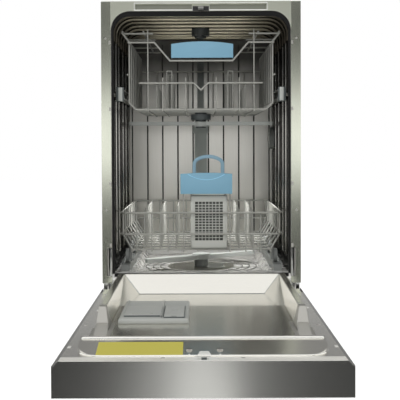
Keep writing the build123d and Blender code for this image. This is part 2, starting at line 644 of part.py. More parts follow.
# Drain pump at the sump's right, with the hose spigot that leaves at the back
DRAIN_SPIGOT = 22.0
drain = rod_x((96.3, 140), HUB_DEPTH, PUMP_AXIS_Z - 6, 62)
drain += rod_x((140, 172), HUB_DEPTH, PUMP_AXIS_Z - 6, 44)
drain += block((110, 135), (HUB_DEPTH - 15, HUB_DEPTH + 15),
               (TRAY_BOTTOM + TRAY_WALL, PUMP_AXIS_Z - 20))
drain += rod_z(DRAIN_X - 16, HUB_DEPTH + 18, (DRAIN_Z, PUMP_AXIS_Z - 10), 20)
drain += rod_y(DRAIN_X - 16, (HUB_DEPTH + 10, TRAY_BACK - 30), DRAIN_Z, 20)
drain += rod_y(DRAIN_X, (TRAY_BACK - 42, CABINET_DEPTH - 1), DRAIN_Z, DRAIN_SPIGOT - SPIGOT_NECK)
drain += rod_y(DRAIN_X, (CABINET_DEPTH - SPIGOT_LENGTH, CABINET_DEPTH), DRAIN_Z, DRAIN_SPIGOT)
drain += rod_x((DRAIN_X - 16, DRAIN_X), TRAY_BACK - 38, DRAIN_Z, 20)
drain -= rod_y(DRAIN_X, (TRAY_BACK - 30, CABINET_DEPTH + 1), DRAIN_Z, DRAIN_SPIGOT - 5)
parts["drain_pump"] = drain

# Inlet valve: a threaded spigot at the back and the coil on top
INLET_THREAD = 26.4
inlet = rod_y(
    INLET_X, (TRAY_BACK - TRAY_WALL - 38, CABINET_DEPTH - 1), INLET_Z, INLET_THREAD - SPIGOT_NECK
)
inlet += rod_y(INLET_X, (CABINET_DEPTH - SPIGOT_LENGTH, CABINET_DEPTH), INLET_Z, INLET_THREAD)
inlet += rod_y(INLET_X, (TRAY_BACK - TRAY_WALL - 4, TRAY_BACK - TRAY_WALL), INLET_Z, 44)
inlet += block((INLET_X - 15, INLET_X + 15), (TRAY_BACK - 72, TRAY_BACK - 36), (INLET_Z - 16, 96))
inlet -= rod_y(INLET_X, (TRAY_BACK - 20, CABINET_DEPTH + 1), INLET_Z, 16)
inlet += rod_z(INLET_X, TRAY_BACK - 54, (TRAY_BOTTOM + TRAY_WALL, INLET_Z), 10)
parts["inlet_valve"] = inlet

# Feed column on the back wall, its docking port, and the ceiling sprayer it ends in
COLUMN = 34.0
COLUMN_DEPTH = (496.0, TUB_DEPTH)
RACK_BELOW_RAIL = 34.0
UP_BOTTOM = UPPER_RAIL_HEIGHT - RACK_BELOW_RAIL
DOCK_BELOW_RACK = 17.0
DOCK_HEIGHT = UP_BOTTOM - DOCK_BELOW_RACK
DOCK_FACE = 478.0
SPRAYER_DEPTH = 300.0
column = block((-COLUMN / 2, COLUMN / 2), COLUMN_DEPTH, (PLINTH_TOP, DOCK_HEIGHT + 20))
column += block((-21, 21), (COLUMN_DEPTH[0] - 4, TUB_DEPTH), (DOCK_HEIGHT - 33, DOCK_HEIGHT - 11))
column += rod_y(0, (DOCK_FACE, TUB_DEPTH), DOCK_HEIGHT, 30)
column += block((-9, 9), (COLUMN_DEPTH[0] + 4, TUB_DEPTH), (DOCK_HEIGHT + 20, TUB_TOP))
column += block((-9, 9), (SPRAYER_DEPTH, TUB_DEPTH), (TUB_TOP - 10, TUB_TOP))
column += rod_z(0, SPRAYER_DEPTH, (TUB_TOP - 18, TUB_TOP), 46)
column += rod_z(0, SPRAYER_DEPTH, (TUB_TOP - 24, TUB_TOP - 18), 30)
column -= rod_y(0, (DOCK_FACE - 1, DOCK_FACE + 16), DOCK_HEIGHT, 22)
parts["feed_column"] = column

# Air break outside the tub's right wall, with the vent cap that faces inside
air_break = block((outer_half + 0.3, outer_half + 12), AIR_BREAK_DEPTH, AIR_BREAK_Z)
air_break += rod_x((TUB_HALF - 3, outer_half + 1), VENT_DEPTH, VENT_HEIGHT, VENT_NECK)
vent = rod_x((TUB_HALF - 13, TUB_HALF - 3), VENT_DEPTH, VENT_HEIGHT, VENT_CAP)
vent = fillet(vent.edges().group_by(Axis.X)[0], 4)
vent += rod_x((TUB_HALF - 3, TUB_HALF), VENT_DEPTH, VENT_HEIGHT, VENT_CAP)
vent -= rod_x((TUB_HALF - 3, TUB_HALF + 1), VENT_DEPTH, VENT_HEIGHT, VENT_NECK)
parts["air_break_and_vent"] = solids_of([air_break, vent])

# Spray arms: a tapered blade each side of a hub, turned to its photographed angle
NOZZLE = 6.0


def spray_arm(height, thickness, half_length, width, tip_width, angle, hub):
    """A two-bladed arm centred over the hub line, with slots for the jets."""
    outline = Polyline(
        (-half_length, -tip_width / 2), (0, -width / 2), (half_length, -tip_width / 2),
        (half_length, tip_width / 2), (0, width / 2), (-half_length, tip_width / 2), close=True,
    )
    blade = extrude(make_face(outline), thickness)
    ends = blade.edges().filter_by(Axis.Z).filter_by(lambda e: abs(e.center().X) > 1)
    blade = fillet(ends, tip_width * 0.4)
    blade += Cylinder(hub / 2, thickness + 3, align=(Align.CENTER, Align.CENTER, Align.MIN))
    for share in (-0.85, -0.6, -0.35, 0.35, 0.6, 0.85):
        blade -= Pos(share * half_length, 0, thickness) * Box(NOZZLE, 2, 2)
    return Pos(0, FRONT + HUB_DEPTH, height) * Rot(0, 0, angle) * blade


LOWER_ARM_HALF = 160.0
LOWER_ARM_TIP = (-134.0, -83.0)
LOWER_ARM_ANGLE = degrees(atan2(LOWER_ARM_TIP[1], LOWER_ARM_TIP[0])) - 180
lower_arm = spray_arm(LOWER_ARM_HEIGHT, 10, LOWER_ARM_HALF, 30, 20, LOWER_ARM_ANGLE, 46)
lower_arm -= rod_z(0, HUB_DEPTH, (LOWER_ARM_HEIGHT - 1, LOWER_ARM_HEIGHT + 8), ARM_BORE + 0.2)
parts["lower_spray_arm"] = lower_arm

# Leak float in the base tray, round its fixed guide
FLOAT_PLACE = (-120.0, 150.0)
FLOAT_BOTTOM = TRAY_BOTTOM + TRAY_WALL + 0.3
leak_float = rod_z(FLOAT_PLACE[0], FLOAT_PLACE[1], (FLOAT_BOTTOM, FLOAT_BOTTOM + 22), 48)
leak_float -= rod_z(FLOAT_PLACE[0], FLOAT_PLACE[1], (FLOAT_BOTTOM - 1, FLOAT_BOTTOM + 23), 12.4)
parts["leak_float"] = leak_float
parts["base_tray"] += rod_z(FLOAT_PLACE[0], FLOAT_PLACE[1], (TRAY_BOTTOM + 1, 70), 12)

# Door. Every depth below is negative: the reach forward of the front plane.
PANEL_LIP = 173.5
PANEL_CORNER = 9.5
HANDLE_X = 66.0
CONTROL_FROM_END = 39.0
BUTTON_REACH = FRONT_REACH - CONTROL_FROM_END
HANDLE_FROM_CONTROLS = 56.0
HANDLE_OPENING = 40.0
HANDLE_REACH = (
    BUTTON_REACH - HANDLE_FROM_CONTROLS - HANDLE_OPENING / 2,
    BUTTON_REACH - HANDLE_FROM_CONTROLS + HANDLE_OPENING / 2,
)
POCKET_FLANGE = 5.0
HANDLE_DEPTH = 24.0
BUTTON = 11.0
BUTTON_X = {"power_button": -120.0, "program_button": 84.0, "start_button": 120.0}
BUTTON_CLEARANCE = 0.2
WINDOW_X = (-34.0, 44.0)
WINDOW_REACH = (BUTTON_REACH - 8.0, BUTTON_REACH + 8.0)


def forward(near, far):
    """Depth limits of a stretch of the lowered door, from its reach."""
    return (-far, -near)


panel = block((-HALF_WIDTH, HALF_WIDTH), forward(HINGE_END, FRONT_REACH), (PANEL_BOTTOM, PANEL_LIP))
panel -= block(
    (-HALF_WIDTH + PANEL_SHEET, HALF_WIDTH - PANEL_SHEET),
    forward(HINGE_END + PANEL_SHEET, FRONT_REACH - PANEL_SHEET),
    (PANEL_BOTTOM + PANEL_SHEET, PANEL_LIP + 1),
)
panel -= block(
    (-HALF_WIDTH - 1, HALF_WIDTH + 1), forward(HINGE_END - 1, HINGE_END + 2),
    (PANEL_BOTTOM + 12, PANEL_LIP + 1),
)
LIP_INNER = 215.0
LIP_START = 52.0
for side in (-1, 1):
    panel += block(
        (side * LIP_INNER, side * HALF_WIDTH), forward(LIP_START, FRONT_REACH),
        (PANEL_LIP - PANEL_SHEET, PANEL_LIP),
    )
end_face = block(
    (-HALF_WIDTH, HALF_WIDTH), forward(FRONT_REACH - PANEL_SHEET, FRONT_REACH),
    (PANEL_BOTTOM, FLANGE_TOP),
)
end_face = chamfer(end_face.edges().filter_by(Axis.Y).group_by(Axis.Z)[-1], PANEL_CORNER)
panel += end_face
panel -= block(
    (-HANDLE_X, HANDLE_X), forward(*HANDLE_REACH), (PANEL_BOTTOM - 1, PANEL_BOTTOM + 3)
)
panel -= block(WINDOW_X, forward(*WINDOW_REACH), (PANEL_BOTTOM - 1, PANEL_BOTTOM + 3))
for x in BUTTON_X.values():
    panel -= rod_z(
        x, -BUTTON_REACH, (PANEL_BOTTOM - 1, PANEL_BOTTOM + 3), BUTTON + 2 * BUTTON_CLEARANCE
    )
parts["door_outer_panel"] = panel

# Door liner: a pressed tray with a raised U that carries the lower rack's wheels
LINER_HALF = 214.0
LINER_SKIRT = 172.0
HINGE_NOTCH = (202.0, 50.0)
PAN_LOW = 184.0
PAN_HIGH = 190.0
PAN_HALF = 157.0
PAN_STEP = 295.0
RIDGE_OUTER = (182.0, 178.5)
RIDGE_INNER = (PAN_HALF, 166.0)
RIDGE_START = (83.0, 89.0)
RIDGE_RIM = (96.0, 129.0)
RIDGE_TAIL = ((468.0, RAIL_TOP), (490.0, 197.0), (532.0, PAN_LOW))
CORNER_FOOT = 131.5
CORNER_END = 290.0
BAR_HALF = 193.0
BAR_CORNER = 40.0
BAR = ((567.0, FLANGE_TOP), (575.0, 194.0), (584.0, 195.5), (657.0, FLANGE_TOP + 0.3))
LINER_END = FRONT_REACH - PANEL_SHEET - SHEET_GAP


def liner_form(inset):
    """The liner's shape as a solid, drawn in by inset on every face."""
    low = LINER_SKIRT - 1 if inset else LINER_SKIRT
    half = LINER_HALF - inset
    form = block(
        (-half, half), forward(HINGE_END + 1 + inset, LINER_END - inset), (low, FLANGE_TOP - inset)
    )
    pan_half = PAN_HALF - inset
    form += block((-pan_half, pan_half), forward(RIDGE_START[0] + inset, 570), (low, PAN_LOW - inset))
    step = [
        (-(PAN_STEP - 6 + inset), low), (-(PAN_STEP + inset), PAN_HIGH - inset),
        (-572, PAN_HIGH - inset), (-572, low),
    ]
    form += across(step, (-pan_half, pan_half))
    bar = [(-(BAR[0][0] + inset), low)]
    bar += [(-(BAR[0][0] + inset), BAR[0][1] - inset), (-(BAR[1][0] + inset), BAR[1][1] - inset)]
    bar += [(-BAR[2][0], BAR[2][1] - inset), (-(BAR[3][0] - inset), BAR[3][1] - inset)]
    bar += [(-(BAR[3][0] - inset), low)]
    bar_plan = Plane(origin=(0, FRONT, low), x_dir=(-1, 0, 0), z_dir=(0, 0, 1)) * tub_arch(
        BAR_HALF - inset, BAR[3][0] - inset, 500, BAR_CORNER
    )
    form += across(bar, (-BAR_HALF, BAR_HALF)) & extrude(bar_plan, 60, dir=(0, 0, 1))
    top = RAIL_TOP - inset
    section = [
        (RIDGE_OUTER[0] - inset, low), (RIDGE_OUTER[1] - inset, top),
        (RIDGE_INNER[1] + inset, top), (RIDGE_INNER[0] + inset, PAN_LOW - inset),
        (RIDGE_INNER[0] + inset, low),
    ]
    ridge = along(section, forward(RIDGE_START[0], RIDGE_TAIL[2][0] + 4))
    tail = [(-RIDGE_TAIL[0][0] + inset, top + 0.01)]
    tail += [(-RIDGE_TAIL[1][0] + inset, RIDGE_TAIL[1][1])]
    tail += [(-RIDGE_TAIL[2][0] + inset, RIDGE_TAIL[2][1] - inset)]
    tail += [(-RIDGE_TAIL[2][0] - 8, RIDGE_TAIL[2][1] - inset), (-RIDGE_TAIL[2][0] - 8, top + 1)]
    tail += [(-RIDGE_TAIL[0][0] + inset, top + 1)]
    ridge -= across(tail, (100, 220))
    ends = [
        (-RIDGE_START[0] + 1, low - 1), (-(RIDGE_START[0] + inset), low - 1),
        (-(RIDGE_START[0] + inset), FLANGE_TOP - inset), (-(RIDGE_START[1] + inset), top),
        (-(RIDGE_START[1] + inset), top + 1), (-RIDGE_START[0] + 1, top + 1),
    ]
    ridge -= across(ends, (100, 220))
    corner = block(
        (CORNER_FOOT + inset, RIDGE_INNER[1] + 1 + inset), forward(RIDGE_RIM[0], CORNER_END),
        (low, top),
    )
    peak = Vector(RIDGE_INNER[1] + inset, FRONT - RIDGE_RIM[0], top)
    foot_near = Vector(CORNER_FOOT + inset, FRONT - RIDGE_RIM[1], PAN_LOW - inset)
    foot_far = Vector(PAN_HALF + inset, FRONT - CORNER_END, PAN_HIGH - inset)
    upward = (foot_far - peak).cross(foot_near - peak)
    if upward.Z < 0:
        upward = upward * -1
    corner = split(corner, bisect_by=Plane(origin=peak, z_dir=upward), keep=Keep.BOTTOM)
    ridge += corner
    form += both_sides(ridge)
    rim = [
        (-(RIDGE_START[0] + inset), low), (-(RIDGE_START[0] + inset), FLANGE_TOP - inset),
        (-(RIDGE_START[1] + inset), top), (-(RIDGE_RIM[0] - inset), top),
        (-(RIDGE_RIM[1] - inset), PAN_LOW - inset), (-(RIDGE_RIM[1] - inset), low),
    ]
    form += across(rim, (-RIDGE_OUTER[1] + inset + 1, RIDGE_OUTER[1] - inset - 1))
    return form


DISPENSER_X = (-146.0, -24.0)
DISPENSER_REACH = (290.0, 465.0)
DISPENSER_INSET = 7.0
SLOT_HALF = 8.5
SLOT_REACH = (666.0, 682.0)
liner = liner_form(0) - liner_form(LINER_SHEET)
for side in (-1, 1):
    liner -= block(
        (side * HINGE_NOTCH[0], side * (LINER_HALF + 1)), forward(HINGE_END, HINGE_NOTCH[1]),
        (LINER_SKIRT - 1, FLANGE_TOP + 1),
    )
dispenser_hole = block(
    (DISPENSER_X[0] + DISPENSER_INSET, DISPENSER_X[1] - DISPENSER_INSET),
    forward(DISPENSER_REACH[0] + DISPENSER_INSET, DISPENSER_REACH[1] - DISPENSER_INSET),
    (PAN_HIGH - 10, PAN_HIGH + 5),
)
liner -= dispenser_hole
STRIKER_X = 12.0
STRIKER_REACH = (661.0, 685.0)
liner -= block((-STRIKER_X + 1, STRIKER_X - 1), forward(STRIKER_REACH[0] + 1, STRIKER_REACH[1] - 1),
               (LINER_SKIRT, PAN_HIGH))
parts["door_liner"] = liner

# Striker with the slot that the latch tongue enters
STRIKER_BOTTOM = 162.0
STRIKER_TOP = FLANGE_TOP + 0.6
striker = block((-STRIKER_X, STRIKER_X), forward(*STRIKER_REACH), (FLANGE_TOP, STRIKER_TOP))
striker += block(
    (-STRIKER_X + 1.3, STRIKER_X - 1.3),
    forward(STRIKER_REACH[0] + 1.3, STRIKER_REACH[1] - 1.3), (STRIKER_BOTTOM, STRIKER_TOP),
)
striker -= block((-SLOT_HALF, SLOT_HALF), forward(*SLOT_REACH), (STRIKER_BOTTOM + 2, STRIKER_TOP + 1))
for side in (-1, 1):
    striker += block(
        (side * STRIKER_X, side * (STRIKER_X + 12)), forward(668, 682),
        (FLANGE_TOP, STRIKER_TOP),
    )
parts["door_striker"] = striker

# Door filling, the control module with its window, the buttons and the grip pocket
INSULATION = 7.0
filling = block(
    (-198, 198), forward(60, HANDLE_REACH[0] - POCKET_FLANGE - 7),
    (PANEL_BOTTOM + PANEL_SHEET + SHEET_GAP, PANEL_BOTTOM + PANEL_SHEET + SHEET_GAP + INSULATION),
)
parts["door_insulation"] = filling
MODULE_BOTTOM = PANEL_BOTTOM + 7.0
MODULE_HALF = 140.0
MODULE_WIDTH = 32.0
MODULE_FOOT = 10.0
module = block(
    (-MODULE_HALF, MODULE_HALF),
    forward(BUTTON_REACH - MODULE_WIDTH / 2, BUTTON_REACH + MODULE_WIDTH / 2),
    (MODULE_BOTTOM, MODULE_BOTTOM + 20),
)
module += block(
    (WINDOW_X[0] + 0.3, WINDOW_X[1] - 0.3),
    forward(WINDOW_REACH[0] + 0.3, WINDOW_REACH[1] - 0.3), (PANEL_BOTTOM, MODULE_BOTTOM + 1),
)
for side in (-1, 1):
    module += block(
        (side * MODULE_HALF, side * (MODULE_HALF + MODULE_FOOT)), forward(*WINDOW_REACH),
        (PANEL_BOTTOM + PANEL_SHEET, MODULE_BOTTOM + 8),
    )
parts["control_module"] = module
BUTTON_PROUD = 1.2
BUTTON_TRAVEL = 1.5
for name, x in BUTTON_X.items():
    cap_bottom = PANEL_BOTTOM - BUTTON_PROUD
    button = rod_z(x, -BUTTON_REACH, (cap_bottom, MODULE_BOTTOM - BUTTON_TRAVEL - 0.5), BUTTON)
    button += rod_z(
        x, -BUTTON_REACH,
        (PANEL_BOTTOM + PANEL_SHEET + SHEET_GAP, PANEL_BOTTOM + PANEL_SHEET + SHEET_GAP + 1.2),
        BUTTON + 4,
    )
    parts[name] = button
pocket = block(
    (-HANDLE_X + 0.3, HANDLE_X - 0.3),
    forward(HANDLE_REACH[0] + 0.3, HANDLE_REACH[1] - 0.3), (PANEL_BOTTOM, PANEL_BOTTOM + HANDLE_DEPTH),
)
pocket += block(
    (-HANDLE_X - POCKET_FLANGE - 1, HANDLE_X + POCKET_FLANGE + 1),
    forward(HANDLE_REACH[0] - POCKET_FLANGE, HANDLE_REACH[1] + POCKET_FLANGE),
    (PANEL_BOTTOM + PANEL_SHEET, PANEL_BOTTOM + PANEL_SHEET + 2),
)
pocket -= block(
    (-HANDLE_X + 2.3, HANDLE_X - 2.3),
    forward(HANDLE_REACH[0] + 2.3, HANDLE_REACH[1] - 2.3),
    (PANEL_BOTTOM - 1, PANEL_BOTTOM + HANDLE_DEPTH - 2),
)
parts["handle_pocket"] = pocket

# Detergent and rinse aid dispenser, with its sliding lid and hinged flap
BODY_TOP = 199.0
BODY_BOTTOM = 158.0
LID_X = (-138.0, -73.0)
LID_REACH = (356.0, 446.0)
LID_THICKNESS = 2.4
FLAP_X = (-67.0, -32.0)
FLAP_REACH = (356.0, 458.0)
FLAP_PIVOT = 3.0
body = block(DISPENSER_X, forward(*DISPENSER_REACH), (PAN_HIGH, BODY_TOP))
body = chamfer(body.edges().group_by(Axis.Z)[-1], 3)
body += block(
    (DISPENSER_X[0] + DISPENSER_INSET + 0.5, DISPENSER_X[1] - DISPENSER_INSET - 0.5),
    forward(DISPENSER_REACH[0] + DISPENSER_INSET + 0.5, DISPENSER_REACH[1] - DISPENSER_INSET - 0.5),
    (BODY_BOTTOM, PAN_HIGH + 1),
)
body -= block((LID_X[0] + 4, LID_X[1] - 4), forward(LID_REACH[0] + 4, LID_REACH[1] - 6),
              (BODY_BOTTOM + 8, BODY_TOP + 1))
body -= rod_z((FLAP_X[0] + FLAP_X[1]) / 2, -430, (BODY_BOTTOM + 8, BODY_TOP + 1), 22)
body -= block((FLAP_X[0] - 1, FLAP_X[1] + 1),
              forward(FLAP_REACH[0] - 2, FLAP_REACH[0] + 2 * FLAP_PIVOT + 1),
              (BODY_TOP - 3, BODY_TOP + 1))
for x in (LID_X[0] - 2.3, LID_X[1] + 0.3):
    body += block((x, x + 2), forward(DISPENSER_REACH[0] + 5, LID_REACH[1]), (BODY_TOP - 1, BODY_TOP + 2.6))
parts["dispenser_body"] = body
lid_bottom = BODY_TOP + SHEET_GAP
lid = block(LID_X, forward(*LID_REACH), (lid_bottom, lid_bottom + LID_THICKNESS))
lid = chamfer(lid.edges().filter_by(Axis.X).group_by(Axis.Z)[-1], 1)
parts["dispenser_lid"] = lid
flap = block(FLAP_X, forward(*FLAP_REACH), (lid_bottom, lid_bottom + LID_THICKNESS))
flap -= block((-54, -45), forward(FLAP_REACH[1] - 8, FLAP_REACH[1] + 1), (lid_bottom - 1, BODY_TOP + 5))
parts["rinse_aid_flap"] = flap

# Hinge arms inside the door's sides, turning on the bracket pins
ARM_TOP_EDGE = FLANGE_TOP - LINER_SHEET - SHEET_GAP
arm_outline = [
    (6, HINGE_HEIGHT + 16), (11, HINGE_HEIGHT + 8), (11, HINGE_HEIGHT - 6),
    (2, HINGE_HEIGHT - 13), (-180, HINGE_HEIGHT - 13), (-180, ARM_TOP_EDGE),
    (-60, ARM_TOP_EDGE), (-45, HINGE_HEIGHT + 13), (-10, HINGE_HEIGHT + 13),
]
arms = []
for side in (-1, 1):
    arm = across(arm_outline, sorted((side * ARM_X[0], side * ARM_X[1])))
    arm -= rod_x(
        (side * (ARM_X[0] - 3), side * (ARM_X[1] + 1)), -HINGE_FORWARD, HINGE_HEIGHT,
        HINGE_PIN + 2 * PIN_CLEARANCE,
    )
    arm += block(
        sorted((side * (ARM_X[0] - 14), side * ARM_X[0])), (-180, -70),
        (ARM_TOP_EDGE - ARM_SHEET, ARM_TOP_EDGE),
    )
    arms.append(arm)
parts["hinge_arms"] = solids_of(arms)

# Upper rack
UP_HALF = 165.0
UP_FLARE = 180.0
UP_HEIGHT = 174.0
FLARE_HEIGHT = 19.0
UP_TOP = UP_BOTTOM + UP_HEIGHT
UP_SHOULDER = UP_TOP - FLARE_HEIGHT
LEDGE = 110.0
CORNER = 14.0
upper = []


def upper_cross(depth, ledge):
    """A cross wire: a flat bottom, upright sides and a flared, hooked top."""
    side = [(UP_HALF - CORNER, UP_BOTTOM), (UP_HALF, UP_BOTTOM + CORNER), (UP_HALF, UP_SHOULDER),
            (UP_FLARE, UP_TOP)]
    if ledge:
        side.append((LEDGE, UP_TOP))
    points = [(-x, depth, z) for x, z in reversed(side)] + [(x, depth, z) for x, z in side]
    return wire(points)


CROSS_DEPTHS = [RACK_FRONT + i * (RACK_BACK - RACK_FRONT) / 7 for i in range(8)]
for i, depth in enumerate(CROSS_DEPTHS):
    upper.append(upper_cross(depth, i in (0, 2, 5, 7)))
for side in (-1, 1):
    upper.append(wire([(side * UP_FLARE, RACK_FRONT - 2, UP_TOP + WIRE),
                       (side * UP_FLARE, RACK_BACK + 2, UP_TOP + WIRE)]))
    upper.append(wire([(side * (UP_HALF + WIRE), RACK_FRONT - 2, UP_BOTTOM + 80),
                       (side * (UP_HALF + WIRE), RACK_BACK + 2, UP_BOTTOM + 80)]))
    upper.append(wire([(side * (LEDGE + 22), RACK_FRONT - 2, UP_TOP + WIRE),
                       (side * (LEDGE + 22), RACK_BACK + 2, UP_TOP + WIRE)]))
LONG_X = (-122, -88, -35, 35, 88, 122)
UP_BACK_TOP = UP_BOTTOM + 120.0
low_wire = UP_BOTTOM - (WIRE + FILL_WIRE) / 2
long_front = RACK_FRONT - (WIRE + FILL_WIRE) / 2
long_back = RACK_BACK + (WIRE + FILL_WIRE) / 2
for x in LONG_X:
    front_top = UP_TOP + 9 if abs(x) == 122 else UP_BOTTOM + 73
    upper.append(wire(
        [(x, long_front, front_top), (x, long_front, low_wire), (x, long_back, low_wire),
         (x, long_back, UP_BACK_TOP)], FILL_WIRE,
    ))
front_wire = RACK_FRONT - (WIRE + FILL_WIRE) / 2 - (WIRE + FILL_WIRE) / 2
HANDLE_WIRE_HIGH = UP_BOTTOM + 153.0
HANDLE_WIRE_LOW = UP_BOTTOM + 111.0
handle_line = [
    (-UP_HALF - 3, HANDLE_WIRE_HIGH), (-107, HANDLE_WIRE_HIGH), (-71, HANDLE_WIRE_LOW),
    (73, HANDLE_WIRE_LOW), (109, HANDLE_WIRE_HIGH), (UP_HALF + 3, HANDLE_WIRE_HIGH),
]
upper.append(wire([(x, front_wire - 0.25, z) for x, z in handle_line]))
V_WIRE = UP_BOTTOM + 60.0
v_line = [(-142, V_WIRE), (-17, V_WIRE), (0, V_WIRE - 16), (17, V_WIRE), (142, V_WIRE)]
upper.append(wire([(x, front_wire, z) for x, z in v_line]))
upper.append(wire([(-UP_HALF - 3, RACK_BACK + WIRE, UP_BACK_TOP + 1),
                   (UP_HALF + 3, RACK_BACK + WIRE, UP_BACK_TOP + 1)]))
for x in (-105, 105):
    for i in range(6):
        depth = CROSS_DEPTHS[i + 1] + WIRE
        upper.append(wire([(x, depth, UP_BOTTOM + 0.5), (x, depth, UP_BOTTOM + 60)], FILL_WIRE))
STAND_HALF = 6.0
STAND_TOP = UP_BOTTOM + 93.0
for x in (-75, 70):
    for i in (1, 3, 5):
        depth = CROSS_DEPTHS[i] + WIRE
        upper.append(wire(
            [(x - STAND_HALF, depth, UP_BOTTOM + 0.5), (x - STAND_HALF, depth, STAND_TOP),
             (x + STAND_HALF, depth, STAND_TOP), (x + STAND_HALF, depth, UP_BOTTOM + 0.5)], FILL_WIRE,
        ))
parts["upper_rack_wires"] = solids_of(upper)

# Blue grip of the upper rack, clipped over the front wire
GRIP_X = (-68.0, 74.0)
GRIP_Z = (UP_BOTTOM + 117.5, UP_BOTTOM + 149.0)
GRIP_CROWN = 6.0
GRIP_FRONT = 42.5
grip_middle = (GRIP_X[0] + GRIP_X[1]) / 2
grip_outline = make_face(
    Polyline(
        (GRIP_X[0], 0, GRIP_Z[1]), (GRIP_X[0], 0, GRIP_Z[0]), (GRIP_X[1], 0, GRIP_Z[0]),
        (GRIP_X[1], 0, GRIP_Z[1]),
    )
    + ThreePointArc(
        (GRIP_X[1], 0, GRIP_Z[1]), (grip_middle, 0, GRIP_Z[1] + GRIP_CROWN), (GRIP_X[0], 0, GRIP_Z[1])
    )
)
upper_grip = Pos(0, FRONT + GRIP_FRONT, 0) * extrude(grip_outline, 12, dir=(0, 1, 0))
upper_grip -= block((GRIP_X[0] + 3, GRIP_X[1] - 3), (GRIP_FRONT + 3, GRIP_FRONT + 13),
                    (GRIP_Z[0] - 1, GRIP_Z[1] - 4))
for x in (GRIP_X[0] + 13, GRIP_X[1] - 23):
    upper_grip += block((x, x + 10), (front_wire + 2, front_wire + 5),
                        (HANDLE_WIRE_LOW - 5, GRIP_Z[1]))
    upper_grip += block((x, x + 10), (GRIP_FRONT + 2, front_wire + 5), (GRIP_Z[0], GRIP_Z[1]))
parts["upper_rack_handle"] = upper_grip

# Water feed under the upper rack, from the docking port to the arm's hub
FEED_Z = (UP_BOTTOM - 19.0, UP_BOTTOM - 5.5)
ARM_TOP = FEED_Z[0] - 5.0
feed = block((-13, 13), (HUB_DEPTH, 462), FEED_Z)
feed += rod_y(0, (460, DOCK_FACE - RUNNING_GAP), DOCK_HEIGHT, 26)
feed += rod_z(0, HUB_DEPTH, (FEED_Z[0], FEED_Z[1]), 50)
feed += rod_z(0, HUB_DEPTH, (ARM_TOP + RUNNING_GAP, FEED_Z[0]), 26)
feed += rod_z(0, HUB_DEPTH, (ARM_TOP - 16, FEED_Z[0]), 16)
feed += rod_z(0, HUB_DEPTH, (ARM_TOP - 16, ARM_TOP - 12 - RUNNING_GAP), 26)
feed += rod_z(0, HUB_DEPTH, (FEED_Z[1], FEED_Z[1] + 14), 30)
parts["upper_rack_feed"] = feed
UPPER_ARM_HALF = 183.0
upper_arm = spray_arm(ARM_TOP - 9, 9, UPPER_ARM_HALF, 30, 16, 0, 40)
upper_arm -= rod_z(0, HUB_DEPTH, (ARM_TOP - 15, ARM_TOP + 5), 16.2)
upper_arm = mirror(upper_arm, about=Plane.XY.offset(ARM_TOP - 4.5))
parts["upper_spray_arm"] = upper_arm

# Rollers on the rack's sides, in the inner channels of the rails
RACK_ROLLER_DEPTHS = (245.0, 440.0)
CARRIER_HALF = 29.0
RACK_ROLLER_X = 177.5
carriers = []
for side in (-1, 1):
    for depth in RACK_ROLLER_DEPTHS:
        carrier = block(
            sorted((side * (UP_HALF + WIRE / 2), side * (RAIL_INNER - 1.2))),
            (depth - CARRIER_HALF, depth + CARRIER_HALF),
            (UPPER_RAIL_HEIGHT - 9, UPPER_RAIL_HEIGHT + 38),
        )
        carrier += rod_x(
            (side * (UP_HALF + 4), side * (RACK_ROLLER_X + 8)), depth, UPPER_RAIL_HEIGHT, ROLLER_PIN
        )
        carriers.append(carrier)
parts["roller_carriers"] = solids_of(carriers)
RACK_ROLLER_WIDTH = 6.5
parts["rack_rollers_front"] = solids_of(
    roller(RACK_ROLLER_DEPTHS[0], RACK_ROLLER_X, ROLLER_DIAMETER, RACK_ROLLER_WIDTH,
           TUB_PIN_BORE, UPPER_RAIL_HEIGHT)
)
parts["rack_rollers_rear"] = solids_of(
    roller(RACK_ROLLER_DEPTHS[1], RACK_ROLLER_X, ROLLER_DIAMETER, RACK_ROLLER_WIDTH,
           TUB_PIN_BORE, UPPER_RAIL_HEIGHT)
)

# Lower rack
LOW_HALF = 182.0
LOW_FOOT = 161.0
LOW_TOP = 343.0
LOW_MIDDLE = 290.0
LOW_BOTTOM = 255.0
LOW_BACK = 482.0
lower = []


def hoop(half, front, rear, z, corner):
    """A closed wire round the rack at one height, with cut corners."""
    return wire(
        [(-half + corner, front, z), (half - corner, front, z), (half, front + corner, z),
         (half, rear - corner, z), (half - corner, rear, z), (-half + corner, rear, z),
         (-half, rear - corner, z), (-half, front + corner, z)],
        close=True,
    )


lower.append(hoop(LOW_HALF + WIRE, RACK_FRONT - WIRE, LOW_BACK + WIRE, LOW_TOP - 2, 10))
lower.append(hoop(LOW_HALF + WIRE, RACK_FRONT - WIRE, LOW_BACK + WIRE, LOW_MIDDLE + 2, 10))
LOW_CROSS = [RACK_FRONT + 12 + i * (LOW_BACK - RACK_FRONT - 24) / 7 for i in range(8)]
for depth in LOW_CROSS:
    side = [(LOW_FOOT, LOW_BOTTOM), (LOW_HALF, LOW_MIDDLE), (LOW_HALF, LOW_TOP)]
    points = [(-x, depth, z) for x, z in reversed(side)] + [(x, depth, z) for x, z in side]
    lower.append(wire(points))
LOW_LONG = (-150, -115, -77, -41, 66, 103, 137)
for side in (-1, 1):
    lower.append(wire([(side * LOW_FOOT, RACK_FRONT + 8, LOW_BOTTOM - WIRE),
                       (side * LOW_FOOT, LOW_BACK - 8, LOW_BOTTOM - WIRE)]))
low_fill = LOW_BOTTOM - (WIRE + FILL_WIRE) / 2
